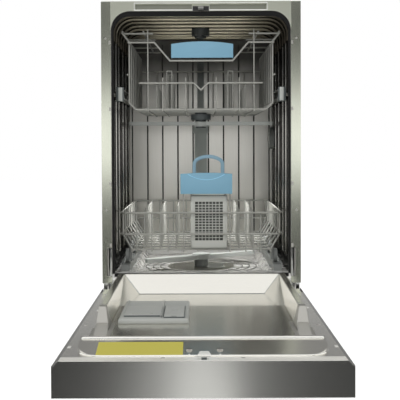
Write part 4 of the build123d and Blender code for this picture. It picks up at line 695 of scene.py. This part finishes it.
def sprayer_nozzles():
    """Eight jets in a ring under the ceiling sprayer."""
    ring, depth, z, count = 17, 300, 778.6, 8
    nozzles = []
    for turn in range(count):
        angle = math.tau * turn / count
        place = at(ring * math.cos(angle), depth + ring * math.sin(angle), z)
        nozzles.append(disc(place, 2.4 * MM, 1.6 * MM, sides=12))
    settle(joined(nozzles), "sprayer_nozzles", "cabinet", "grey")


def vent_louvres():
    """Level ribs across the round vent cap, each as long as the cap is wide there."""
    depth, middle, radius, pitch, thick = 445, 515, 24, 9, 2.8
    ribs = []
    for step in range(-2, 3):
        z = middle + step * pitch
        half = math.sqrt(radius ** 2 - (step * pitch) ** 2)
        ribs.append(block(at(186.6, depth - half, z - thick / 2),
                          at(188.4, depth + half, z + thick / 2), 0.6 * MM))
    settle(joined(ribs), "vent_louvres", "cabinet", "grey")


# Pieces of the casing
def recess_edge():
    """A pale edge round the top rail's recess, open below at the latch: a painted highlight on its
    rim.
    """
    half, latch, side = 149.6, 20.5, 1.4
    spans = (
        (-half, half, 814.9, 816.4),
        (-half, -latch, 799.2, 801.2), (latch, half, 799.2, 801.2),
        (-half, side - half, 801, 815), (half - side, half, 801, 815),
    )
    edge = [block(at(left, -0.4, low), at(right, 0.2, high), 0.3 * MM)
            for left, right, low, high in spans]
    settle(joined(edge), "recess_edge", "cabinet", "recess_highlight_white")


def recess_shade():
    """The shaded back of the recess on both sides of the latch."""
    half, latch = 146.5, 20
    shades = [block(at(left, 6.2, 802.4), at(right, 6.9, 813.6), 0.2 * MM, 1)
              for left, right in ((-half, -latch), (latch, half))]
    settle(joined(shades), "recess_shade", "cabinet", "recess_paint")


# Pieces of the racks
def rail_end_plates():
    """A pale plate on the front of each rail's end cap."""
    low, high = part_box("rail_end_caps")
    inset, half = 9.6 * MM, 4.6 * MM
    plates = [block((x - half, low.y - 0.5 * MM, low.z + 2 * MM),
                    (x + half, low.y + 0.4 * MM, high.z - 1 * MM), 0.3 * MM)
              for x in (low.x + inset, high.x - inset)]
    settle(joined(plates), "rail_end_plates", "sliding_rails", "arm")


def grip_crescent():
    """A pale crescent of painted highlight raised on the lower grip's face: a slice of a large,
    thin ring.
    """
    low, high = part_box("lower_rack_handle")
    deselect()
    bpy.ops.mesh.primitive_torus_add(
        location=((low.x + high.x) / 2, low.y + 0.3 * MM, high.z + 59 * MM),
        rotation=(math.pi / 2, 0, 0), major_radius=75 * MM, minor_radius=1.1 * MM,
        major_segments=120, minor_segments=8,
    )
    crescent = bpy.context.object
    apply_place()
    open_mesh()
    cut((0, 0, high.z - 3 * MM), (0, 0, 1), keep_inner=True)
    cut((0, low.y + 0.1 * MM, 0), (0, 1, 0), keep_inner=True)
    bpy.ops.object.mode_set(mode="OBJECT")
    settle(crescent, "grip_crescent", "lower_rack", "highlight_blue")


# Pieces of the basket
def basket_divider():
    """The wall between the basket's two cells, dark with painted shade."""
    low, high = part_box("cutlery_basket")
    middle = (low.y + high.y) / 2
    divider = block((low.x + BASKET_WALL, middle - 1 * MM, low.z + BASKET_WALL),
                    (high.x - BASKET_WALL, middle + 1 * MM, high.z - 4 * MM), 0.4 * MM)
    settle(divider, "basket_divider", "basket", "basket_shade")


def lattice_bars(low, high, axis, spaces, width):
    """Thin bars that part the space between two corners evenly along one axis."""
    pitch = (high[axis] - low[axis]) / spaces
    start, end, step = list(low), list(high), [0, 0, 0]
    start[axis] = low[axis] + pitch - width / 2
    end[axis] = low[axis] + pitch + width / 2
    step[axis] = pitch
    return row(block(start, end, 0.3 * MM, 1), spaces - 1, step)


def basket_lattice(bar):
    """The basket's base, its plain foot and rim, and walls of thin bars between them."""
    low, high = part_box("cutlery_basket")
    foot, brow, stile = low.z + 19 * MM, high.z - 14 * MM, 10.5 * MM
    columns, slats, rows = 8, 26, 14
    wall, upright_inset, level_inset = BASKET_WALL, 0.3 * MM, 0.5 * MM
    made = [block(low, (high.x, high.y, low.z + wall), 0.5 * MM)]
    for y in (low.y, high.y - wall):
        made.append(block((low.x, y, low.z), (high.x, y + wall, foot), 0.7 * MM))
        made.append(block((low.x, y, brow), (high.x, y + wall, high.z), 0.7 * MM))
        for x in (low.x, high.x - stile):
            made.append(block((x, y, foot - 1 * MM), (x + stile, y + wall, brow + 1 * MM),
                              0.7 * MM))
        left, right = low.x + stile, high.x - stile
        made.append(lattice_bars((left, y + upright_inset, foot), (right, y + wall, brow),
                                 0, columns, bar))
        made.append(lattice_bars((left, y + level_inset, foot), (right, y + wall, brow),
                                 2, rows, bar))
    for x in (low.x, high.x - wall):
        made.append(block((x, low.y, low.z), (x + wall, high.y, foot), 0.7 * MM))
        made.append(block((x, low.y, brow), (x + wall, high.y, high.z), 0.7 * MM))
        made.append(lattice_bars((x + upright_inset, low.y, foot), (x + wall, high.y, brow),
                                 1, slats, bar))
        made.append(lattice_bars((x + level_inset, low.y + wall, foot),
                                 (x + wall, high.y - wall, brow), 2, rows, bar))
    lattice = settle(joined(made), "basket_lattice", "basket", "basket")
    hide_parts("cutlery_basket")


def basket_loop():
    """The blue loop: a flat strap up, over in three bends of 60 degrees and down."""
    low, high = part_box("basket_handle")
    thick, corner, turn = 8.6 * MM, 14 * MM, math.radians(60)
    left, right = low.x + thick / 2, high.x - thick / 2
    middle, y = (low.x + high.x) / 2, (low.y + high.y) / 2
    crown = (middle - left - corner * (1 - math.cos(turn))) / math.sin(turn / 2)
    shoulder = (high.z - thick / 2 - corner * math.sin(turn)
                - crown * (1 - math.cos(turn / 2)))
    drop = (crown - corner) * math.sin(turn)
    bend = {"steps": 7, "angle": -turn, "axis": (0, 1, 0)}
    deselect()
    bpy.ops.mesh.primitive_plane_add(size=1, location=(left, y, low.z))
    strap = bpy.context.object
    strap.scale = (thick, high.y - low.y, 1)
    apply_place()
    open_mesh()
    extrude((0, 0, shoulder - low.z))
    bpy.ops.mesh.spin(center=(left + corner, y, shoulder), **bend)
    bpy.ops.mesh.spin(center=(middle, y, shoulder - drop), **bend)
    bpy.ops.mesh.spin(center=(right - corner, y, shoulder), **bend)
    extrude((0, 0, low.z - shoulder))
    close_mesh()
    apply_modifier(strap, "BEVEL", width=1.2 * MM, segments=2, limit_method="ANGLE",
                   angle_limit=math.radians(50))
    foot_bar = block(low, (high.x, high.y, low.z + 8 * MM), 1 * MM)
    loop = settle(joined([strap, foot_bar]), "basket_loop", "basket", "loop_blue")
    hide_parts("basket_handle")


# Pieces of the door
def blank_label(thickness):
    """The yellow label on the end bar's slope, left bare."""
    x, width, near, far = -96.5, 132, 607.0, 654.0
    deselect()
    bpy.ops.mesh.primitive_plane_add(
        size=1, location=on_bar(x, (near + far) / 2, 0.12), rotation=(BAR_SLOPE, 0, 0))
    label = bpy.context.object
    label.scale = (width * MM, (far - near) * MM / math.cos(BAR_SLOPE), 1)
    apply_place()
    apply_modifier(label, "SOLIDIFY", thickness=thickness, offset=1.0)
    apply_modifier(label, "BEVEL", width=0.08 * MM, segments=1, limit_method="ANGLE")
    settle(label, "blank_label", "door", "label")


def bar_foot():
    """A thin bead round the foot of the end bar."""
    half, near, far, corner, z = 193, 575, 657, 40, 181.2
    start = at(-half, -near, z)
    bead = round_face(start, 1.7 * MM, 10, (math.pi / 2, 0, 0))
    hoop(start, (0, -1, 0), (0, 0, 1), (far - near - corner) * MM, corner * MM)
    close_mesh()
    settle(bead, "bar_foot", "door", "bead_highlight_steel")


def bar_ridge():
    """The rounded ridge along the top of the end bar."""
    ridge = disc(on_bar(0, 592, -0.8), 3.6 * MM, 384 * MM, "X", 20, 3.2 * MM)
    settle(ridge, "bar_ridge", "door", "bead_highlight_steel")


def end_lip():
    """The rolled lip along the door's free end."""
    lip = disc(at(0, -685.4, 179.9), 1.55 * MM, 424 * MM, "X", 16, 1.2 * MM)
    settle(lip, "end_lip", "door", "bead_highlight_steel")


def pan_edge():
    """A dark line of painted shade in the crease where the liner's pan begins."""
    line = block(at(-136, -131.5, 183.7), at(136, -129.3, 184.6), 0.3 * MM, 1)
    settle(line, "pan_edge", "door", "dark")


def liner_clips():
    """White clips on the liner's flange."""
    half_length, low, high = 6, 180.5, 181.5
    clips = []
    for x, reach, half in ((-198, 293, 4), (204, 270, 4), (-210.4, 596, 2.6), (210.4, 596, 2.6)):
        clips.append(block(at(x - half, -reach - half_length, low),
                           at(x + half, -reach + half_length, high), 0.4 * MM))
    settle(joined(clips), "liner_clips", "door", "white")


def liner_screws(radius):
    """Screw heads along both sides and the end of the liner's flange."""
    places = ((-205, 120), (205, 120), (-205, 430), (205, 430), (-60, 668), (60, 668))
    screws = [disc(at(x, -reach, 180.9), radius, 1.2 * MM) for x, reach in places]
    settle(joined(screws), "liner_screws", "door", "screw_steel")


def striker_bosses():
    """Two pressed bosses beside the striker."""
    bosses = [disc(on_bar(x, 635, 0.2), 5.2 * MM, 4.2 * MM, edge=2 * MM)
              for x in STRIKER_SIDES]
    settle(joined(bosses), "striker_bosses", "door", "bead_shade_steel")


def striker_posts():
    """Two small white posts before the bosses."""
    posts = [disc(on_bar(x, 653), 1.9 * MM, 2.6 * MM, edge=1.2 * MM) for x in STRIKER_SIDES]
    settle(joined(posts), "striker_posts", "door", "white")


def striker_hood():
    """The white hood over the striker's slot, narrower towards the tub."""
    deselect()
    bpy.ops.mesh.primitive_cube_add(size=1, location=on_bar(2, 650, 0.2),
                                    scale=(25 * MM, 17 * MM, 1.8 * MM))
    hood = bpy.context.object
    bpy.ops.object.transform_apply(location=False, rotation=False, scale=True)
    open_mesh()
    for x, side in ((-9, -1), (13, 1)):
        cut(at(x, -658, 0), (side * 0.97, 0.24, 0), keep_inner=True)
    bpy.ops.object.mode_set(mode="OBJECT")
    hood.rotation_euler.x = BAR_SLOPE
    bpy.ops.object.transform_apply(location=False, rotation=True, scale=False)
    apply_modifier(hood, "BEVEL", width=0.6 * MM, segments=2, limit_method="ANGLE")
    settle(hood, "striker_hood", "door", "white")


def striker_slot():
    """The far wall of the striker's slot, dark with painted shade."""
    slot = block(at(-2.4, -666.9, 170), at(5.6, -666.1, 181.5), 0.2 * MM, 1)
    settle(slot, "striker_slot", "door", "dark")


# Pieces of the dispenser
def lid_ridges():
    """Three finger ridges across the lid's near end."""
    low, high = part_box("dispenser_lid")
    inset, first, pitch, wide = 14 * MM, 8 * MM, 4 * MM, 1.6 * MM
    ridges = []
    for step in range(3):
        y = low.y + first + step * pitch
        ridges.append(block((low.x + inset, y, high.z - 0.2 * MM),
                            (high.x - inset, y + wide, high.z + 0.5 * MM), 0.25 * MM))
    settle(joined(ridges), "lid_ridges", "dispenser_lid", "dispenser")


def joint_line(box, left, right, near, far, drop=0.4 * MM):
    """A thin dark line from just under a cover's foot to a drop below its top."""
    low, high = box
    return block((left, near, low.z - 0.25 * MM), (right, far, high.z - drop), 0.2 * MM, 1)


def dispenser_gaps():
    """Dark joints before the lid and the flap, and between and beside them."""
    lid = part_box("dispenser_lid")
    low, high = lid
    before, past = low.y - 1.4 * MM, low.y - 0.3 * MM
    gaps = [joint_line(lid, low.x + 1 * MM, high.x - 1 * MM, before, past, 0.2 * MM)]
    for offset in (0.7 * MM, 4 * MM):
        gaps.append(joint_line(lid, high.x + offset, high.x + offset + 1.2 * MM,
                               low.y - 8 * MM, high.y))
    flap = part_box("rinse_aid_flap")
    low, high = flap
    before, past = low.y - 1.4 * MM, low.y - 0.3 * MM
    gaps.append(joint_line(flap, low.x, high.x, before, past))
    gaps.append(joint_line(flap, high.x + 0.4 * MM, high.x + 1.4 * MM, before, high.y))
    settle(joined(gaps), "dispenser_gaps", "door", "dark")


def flap_mark():
    """The raised round mark on the rinse-aid flap."""
    low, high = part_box("rinse_aid_flap")
    mark = disc(((low.x + high.x) / 2, low.y + 60 * MM, high.z), 7 * MM, 0.8 * MM)
    settle(mark, "flap_mark", "rinse_aid_flap", "dispenser")


# The studio round the machine
def graded_card(name, place, turn, size, axis, half, stops):
    """A card that only shows in reflections, shaded by stops along one of its axes."""
    deselect()
    bpy.ops.mesh.primitive_plane_add(size=1, location=place, rotation=turn)
    card = bpy.context.object
    card.name = name
    card.scale = (*size, 1)
    bpy.ops.object.transform_apply(location=False, rotation=False, scale=True)
    f = Finish(name.replace("_", " ").capitalize())
    along = (f.axis(axis) + half) / (2 * half)
    greys = [(share, (grey, grey, grey)) for share, grey in stops]
    shade = f.node("ShaderNodeValToRGB", {"stops": greys}, {0: along})
    f.close(f.node("ShaderNodeEmission", {}, {"Color": shade, "Strength": 1.0}))
    card.data.materials.append(f.material)
    card.visible_camera = False
    card.visible_diffuse = False
    card.visible_shadow = False


def studio_cards():
    """The cards that give the metal its bright and dark reflections."""
    upright, flat = (math.pi / 2, 0, 0), (0, 0, 0)
    graded_card("studio_card_front", (0, -2.5, 1.0), upright, (5, 2.0), 1, 1.0, (
        (0.0, 0.06), (0.12, 0.12), (0.19, 1.7), (0.30, 1.7), (0.37, 1.0), (0.43, 0.16),
        (0.57, 0.08), (0.62, 0.4), (0.8, 0.5)))
    graded_card("studio_card_floor", (0, -1.6, 0.002), flat, (2.6, 1.75), 0, 0.8, (
        (0.0, 0.03), (0.28, 0.05), (0.38, 0.16), (0.45, 0.6), (0.48, 1.2), (0.53, 1.2),
        (0.555, 0.3), (0.64, 0.12), (0.8, 0.03)))
    for name, side, level in (("left", -1, 0.08), ("right", 1, 0.03)):
        graded_card("studio_shade_" + name, (side * 0.84, -2.48, 1.25), upright, (0.73, 0.9),
                    1, 0.45, ((0.0, 0.5), (0.12, level), (1.0, level)))
    for name, side in (("left", -1), ("right", 1)):
        graded_card("studio_card_" + name, (side * 1.14, 0.8, 0.8), upright, (1.76, 1.6),
                    1, 0.8, ((0.2, 0.42), (0.36, 0.22), (1.0, 0.2)))


def studio_floor():
    """A pale floor that keeps the shadow, and is white where it is seen."""
    f = Finish("Pale studio floor")
    cloud = f.noise(3.0, detail=2.0)
    pale = f.node("ShaderNodeBsdfDiffuse", {}, {
        "Color": f.mix(cloud, (0.80, 0.80, 0.80), (0.84, 0.84, 0.84))})
    glow = f.node("ShaderNodeEmission", {}, {"Color": (1, 1, 1, 1), "Strength": 0.55})
    lit = f.node("ShaderNodeAddShader", {}, {0: pale, 1: glow})
    f.close(f.node("ShaderNodeMixShader", {}, {0: f.seen(), 1: pale, 2: lit}))
    deselect()
    bpy.ops.mesh.primitive_plane_add(size=16, location=(0, 2, 0))
    floor = bpy.context.object
    floor.name = "studio_floor"
    floor.data.materials.append(f.material)


def studio_world(ambient, background):
    """An even light all round, and a white background where it is seen."""
    world = bpy.data.worlds.new("Studio")
    bpy.context.scene.world = world
    world.use_nodes = True
    sky = ShaderTree(world.node_tree)
    level = sky.node("ShaderNodeMapRange", {},
                     {"Value": sky.seen(), "To Min": ambient, "To Max": background})
    light = sky.node("ShaderNodeBackground", {}, {"Color": (1, 1, 1, 1), "Strength": level})
    sky.close(light, "ShaderNodeOutputWorld")


def studio_lamps(power):
    """A large lamp above the camera, two soft ones, and two small ones in the tub."""
    machine = (0, 0.1, 0.45)
    for name, place, target, size, share in (
        ("key_lamp", (0.0, -2.6, 2.4), machine, 1.4, 1.0),
        ("fill_lamp", (-1.8, -1.6, 1.6), machine, 1.2, 0.4),
        ("rear_lamp", (0.6, 2.2, 2.6), machine, 1.6, 0.5),
        ("tub_lamp_left", (-0.13, 0.33, 0.40), (-0.104, 0.3, 0), 0.14, 0.026),
        ("tub_lamp_right", (0.13, 0.33, 0.40), (0.104, 0.3, 0), 0.14, 0.026),
    ):
        lamp = bpy.data.lights.new(name, "AREA")
        lamp.size = size
        lamp.energy = power * share
        holder = bpy.data.objects.new(name, lamp)
        bpy.context.scene.collection.objects.link(holder)
        holder.location = place
        aim = Vector(target) - Vector(place)
        holder.rotation_euler = aim.to_track_quat("-Z", "Y").to_euler()
        holder.visible_glossy = False
        holder.visible_camera = False


def photo_camera(lens):
    """The camera at the place fitted to the photograph, with its lens shifted down."""
    tilt_down, roll = 1.4, 0.2
    camera = bpy.data.cameras.new("Photo camera")
    camera.lens = lens
    camera.sensor_width = 36.0
    camera.shift_x = 0.0025
    camera.shift_y = -0.0875
    holder = bpy.data.objects.new("Photo camera", camera)
    bpy.context.scene.collection.objects.link(holder)
    holder.location = at(-5.0, -1962.8, 500.6)
    holder.rotation_euler = (math.radians(90 - tilt_down), math.radians(roll), 0)
    bpy.context.scene.camera = holder


# What a user can change
def colour_setting(name, description, default):
    """A colour that a user can change."""
    return bpy.props.FloatVectorProperty(
        name=name, description=description, subtype="COLOR", size=3, min=0, max=1,
        default=default)


def length_setting(name, description, default):
    """A length that a user can change."""
    return bpy.props.FloatProperty(
        name=name, description=description, unit="LENGTH", default=default)


class DishwasherColours(bpy.types.PropertyGroup):
    """Colours of the machine's main finishes."""

    tub_steel: colour_setting(
        "Tub steel", "Colour of the tub and door liner", (0.78, 0.765, 0.71))
    door_steel: colour_setting(
        "Door steel", "Colour of the brushed door panel", (0.52, 0.52, 0.49))
    casing: colour_setting(
        "Casing", "Colour of the side strips and top rail", (0.62, 0.64, 0.54))
    wire: colour_setting("Rack wire", "Colour of the coated wires", (0.42, 0.42, 0.385))
    grips: colour_setting(
        "Grips", "Colour of the grips and the basket's loop", (0.21, 0.42, 0.56))
    label: colour_setting("Label", "Colour of the blank label", (0.50, 0.45, 0.07))


class DishwasherSizes(bpy.types.PropertyGroup):
    """Sizes of the small pieces added to the frame."""

    grip_edge: length_setting("Grip edge", "Rounding of the grips' edges", 1.6 * MM)
    plastic_edge: length_setting(
        "Plastic edge", "Rounding of other moulded pieces", 0.6 * MM)
    screw_radius: length_setting("Screw head", "Radius of the small screw heads", 3.4 * MM)
    lattice_bar: length_setting("Lattice bar", "Width of the basket's cross bars", 1.9 * MM)
    label_thickness: length_setting(
        "Label thickness", "Thickness of the blank label", 0.25 * MM)


class StudioSettings(bpy.types.PropertyGroup):
    """Lights, backdrop and camera."""

    background: bpy.props.FloatProperty(
        name="Background", description="Strength of the white that the camera sees",
        default=1.0)
    ambient: bpy.props.FloatProperty(
        name="Ambient", description="Strength of the even light all round", default=0.55)
    key_power: bpy.props.FloatProperty(
        name="Key light", description="Power of the large lamp above the camera",
        default=26.0)
    lens: bpy.props.FloatProperty(
        name="Lens", description="Focal length of the camera", default=78.54)


# Operators, one for each group of pieces
class DISHWASHER_OT_finishes(bpy.types.Operator):
    """Make every finish from the chosen colours"""

    bl_idname = "dishwasher.finishes"
    bl_label = "Finishes"

    def execute(self, context):
        colours = context.scene.dishwasher_colours
        make_steels(tuple(colours.tub_steel), tuple(colours.door_steel))
        make_coatings(tuple(colours.casing), tuple(colours.wire), tuple(colours.label))
        make_plastics(tuple(colours.grips))
        return {"FINISHED"}


class DISHWASHER_OT_studio(bpy.types.Operator):
    """Add the pale floor, the reflected cards, the white surroundings, the lamps and the camera"""

    bl_idname = "dishwasher.studio"
    bl_label = "Studio"

    def execute(self, context):
        studio = context.scene.dishwasher_studio
        studio_floor()
        studio_cards()
        studio_world(studio.ambient, studio.background)
        studio_lamps(studio.key_power)
        photo_camera(studio.lens)
        context.scene.view_settings.view_transform = "Standard"
        return {"FINISHED"}


class DISHWASHER_OT_tub(bpy.types.Operator):
    """Dress the tub, and add its floor rings, pressed beads, sprayer jets and vent louvres"""

    bl_idname = "dishwasher.tub"
    bl_label = "Tub"

    def execute(self, context):
        dress("wall_shade_steel", "tub_wrap")
        dress("back_steel", "tub_back")
        dress("floor_lit_steel", "tub_floor")
        dress("plated_steel", "tub_fasteners")
        dress("felt", "sound_felt")
        dress("filter_steel", "fine_filter")
        dress("column", "feed_column")
        dress("grey", "air_break_and_vent", "lower_rack_guides")
        floor_embossing()
        ceiling_beads()
        wall_beads()
        sprayer_nozzles()
        vent_louvres()
        return {"FINISHED"}


class DISHWASHER_OT_casing(bpy.types.Operator):
    """Dress the casing, the base and what it carries, and trim the top rail's recess"""

    bl_idname = "dishwasher.casing"
    bl_label = "Casing and base"

    def execute(self, context):
        dress("casing_paint", "casing_left", "casing_right")
        dress("rail_paint", "top_rails")
        dress("kick_paint", "toe_kick")
        dress("base", "base_tray", "circulation_pump", "drain_pump", "inlet_valve")
        dress("grey", "sump")
        dress("black", "feet_rear", "foot_front_left", "foot_front_right", "latch_housing")
        dress("white", "leak_float")
        dress("seal_rubber", "door_gasket")
        dress("plated_steel", "hinge_brackets_and_springs")
        dress("tongue", "latch_tongue")
        recess_edge()
        recess_shade()
        return {"FINISHED"}


class DISHWASHER_OT_upper_rack(bpy.types.Operator):
    """Dress the upper rack, its rails and rollers, and round its grip, caps and carriers"""

    bl_idname = "dishwasher.upper_rack"
    bl_label = "Upper rack"

    def execute(self, context):
        sizes = context.scene.dishwasher_sizes
        dress("wire", "upper_rack_wires")
        dress("dark", "upper_rack_feed")
        dress("rail_steel", "upper_rails")
        dress("grey", "tub_rollers_front", "tub_rollers_rear", "rack_rollers_front",
              "rack_rollers_rear")
        dress("arm", "upper_spray_arm")
        softened("upper_rack_handle", "upper_rack", "blue", sizes.grip_edge,
                 cut_below=697.6 * MM)
        softened("rail_end_caps", "sliding_rails", "dark", sizes.plastic_edge)
        rail_end_plates()
        softened("roller_carriers", "upper_rack", "grey", sizes.plastic_edge)
        return {"FINISHED"}


class DISHWASHER_OT_lower_rack(bpy.types.Operator):
    """Dress the lower rack and its wheels, and round its grip and carriers"""

    bl_idname = "dishwasher.lower_rack"
    bl_label = "Lower rack"

    def execute(self, context):
        sizes = context.scene.dishwasher_sizes
        dress("wire", "lower_rack_wires")
        dress("grey", "lower_wheels_front", "lower_wheels_middle", "lower_wheels_rear")
        dress("arm", "lower_spray_arm")
        dress("basket", "coarse_filter")
        softened("lower_rack_handle", "lower_rack", "blue", sizes.grip_edge)
        grip_crescent()
        softened("wheel_carriers", "lower_rack", "grey", sizes.plastic_edge)
        return {"FINISHED"}


class DISHWASHER_OT_basket(bpy.types.Operator):
    """Build the basket's divider, lattice walls and bent loop"""

    bl_idname = "dishwasher.basket"
    bl_label = "Basket"

    def execute(self, context):
        basket_divider()
        basket_lattice(context.scene.dishwasher_sizes.lattice_bar)
        basket_loop()
        return {"FINISHED"}


class DISHWASHER_OT_door(bpy.types.Operator):
    """Dress the door, and add its label, end bar, lip, clips, screws and striker trim"""

    bl_idname = "dishwasher.door"
    bl_label = "Door"

    def execute(self, context):
        sizes = context.scene.dishwasher_sizes
        dress("panel_steel", "door_outer_panel")
        dress("liner_steel", "door_liner")
        dress("damping_rubber", "door_insulation")
        dress("plated_steel", "hinge_arms")
        dress("gloss", "control_module")
        softened("door_striker", "door", "white", 0.3 * MM)
        blank_label(sizes.label_thickness)
        bar_ridge()
        bar_foot()
        end_lip()
        pan_edge()
        liner_clips()
        liner_screws(sizes.screw_radius)
        striker_bosses()
        striker_posts()
        striker_hood()
        striker_slot()
        return {"FINISHED"}


class DISHWASHER_OT_dispenser(bpy.types.Operator):
    """Round the dispenser, its lid and its flap, and add the ridges, joints and mark"""

    bl_idname = "dishwasher.dispenser"
    bl_label = "Dispenser"

    def execute(self, context):
        edge = context.scene.dishwasher_sizes.plastic_edge
        softened("dispenser_body", "door", "dispenser", 0.9 * MM)
        softened("dispenser_lid", "dispenser_lid", "dispenser", edge)
        softened("rinse_aid_flap", "rinse_aid_flap", "dispenser", edge)
        lid_ridges()
        dispenser_gaps()
        flap_mark()
        return {"FINISHED"}


class DISHWASHER_OT_controls(bpy.types.Operator):
    """Round the three buttons and the pull pocket on the door's face"""

    bl_idname = "dishwasher.controls"
    bl_label = "Controls"

    def execute(self, context):
        for name in ("power_button", "program_button", "start_button"):
            softened(name, name, "gloss", 0.4 * MM)
        softened("handle_pocket", "door", "black", 0.5 * MM)
        return {"FINISHED"}


STEPS = (
    DISHWASHER_OT_finishes, DISHWASHER_OT_studio, DISHWASHER_OT_tub, DISHWASHER_OT_casing,
    DISHWASHER_OT_upper_rack, DISHWASHER_OT_lower_rack, DISHWASHER_OT_basket,
    DISHWASHER_OT_door, DISHWASHER_OT_dispenser, DISHWASHER_OT_controls,
)


class DISHWASHER_PT_panel(bpy.types.Panel):
    """Lists the machine's colours, sizes and steps"""

    bl_label = "Dishwasher"
    bl_idname = "DISHWASHER_PT_panel"
    bl_space_type = "VIEW_3D"
    bl_region_type = "UI"
    bl_category = "Dishwasher"

    def draw(self, context):
        for group in ("dishwasher_colours", "dishwasher_sizes", "dishwasher_studio"):
            values = getattr(context.scene, group)
            box = self.layout.box()
            for name in values.__annotations__:
                box.prop(values, name)
        for step in STEPS:
            self.layout.operator(step.bl_idname)


CLASSES = (DishwasherColours, DishwasherSizes, StudioSettings, *STEPS, DISHWASHER_PT_panel)


def register():
    for kind in CLASSES:
        bpy.utils.register_class(kind)
    scene = bpy.types.Scene
    scene.dishwasher_colours = bpy.props.PointerProperty(type=DishwasherColours)
    scene.dishwasher_sizes = bpy.props.PointerProperty(type=DishwasherSizes)
    scene.dishwasher_studio = bpy.props.PointerProperty(type=StudioSettings)


def unregister():
    for name in ("dishwasher_studio", "dishwasher_sizes", "dishwasher_colours"):
        delattr(bpy.types.Scene, name)
    for kind in reversed(CLASSES):
        bpy.utils.unregister_class(kind)


def main():
    register()
    bpy.ops.dishwasher.finishes()
    bpy.ops.dishwasher.studio()
    bpy.ops.dishwasher.tub()
    bpy.ops.dishwasher.casing()
    bpy.ops.dishwasher.upper_rack()
    bpy.ops.dishwasher.lower_rack()
    bpy.ops.dishwasher.basket()
    bpy.ops.dishwasher.door()
    bpy.ops.dishwasher.dispenser()
    bpy.ops.dishwasher.controls()


if __name__ == "__main__":
    main()
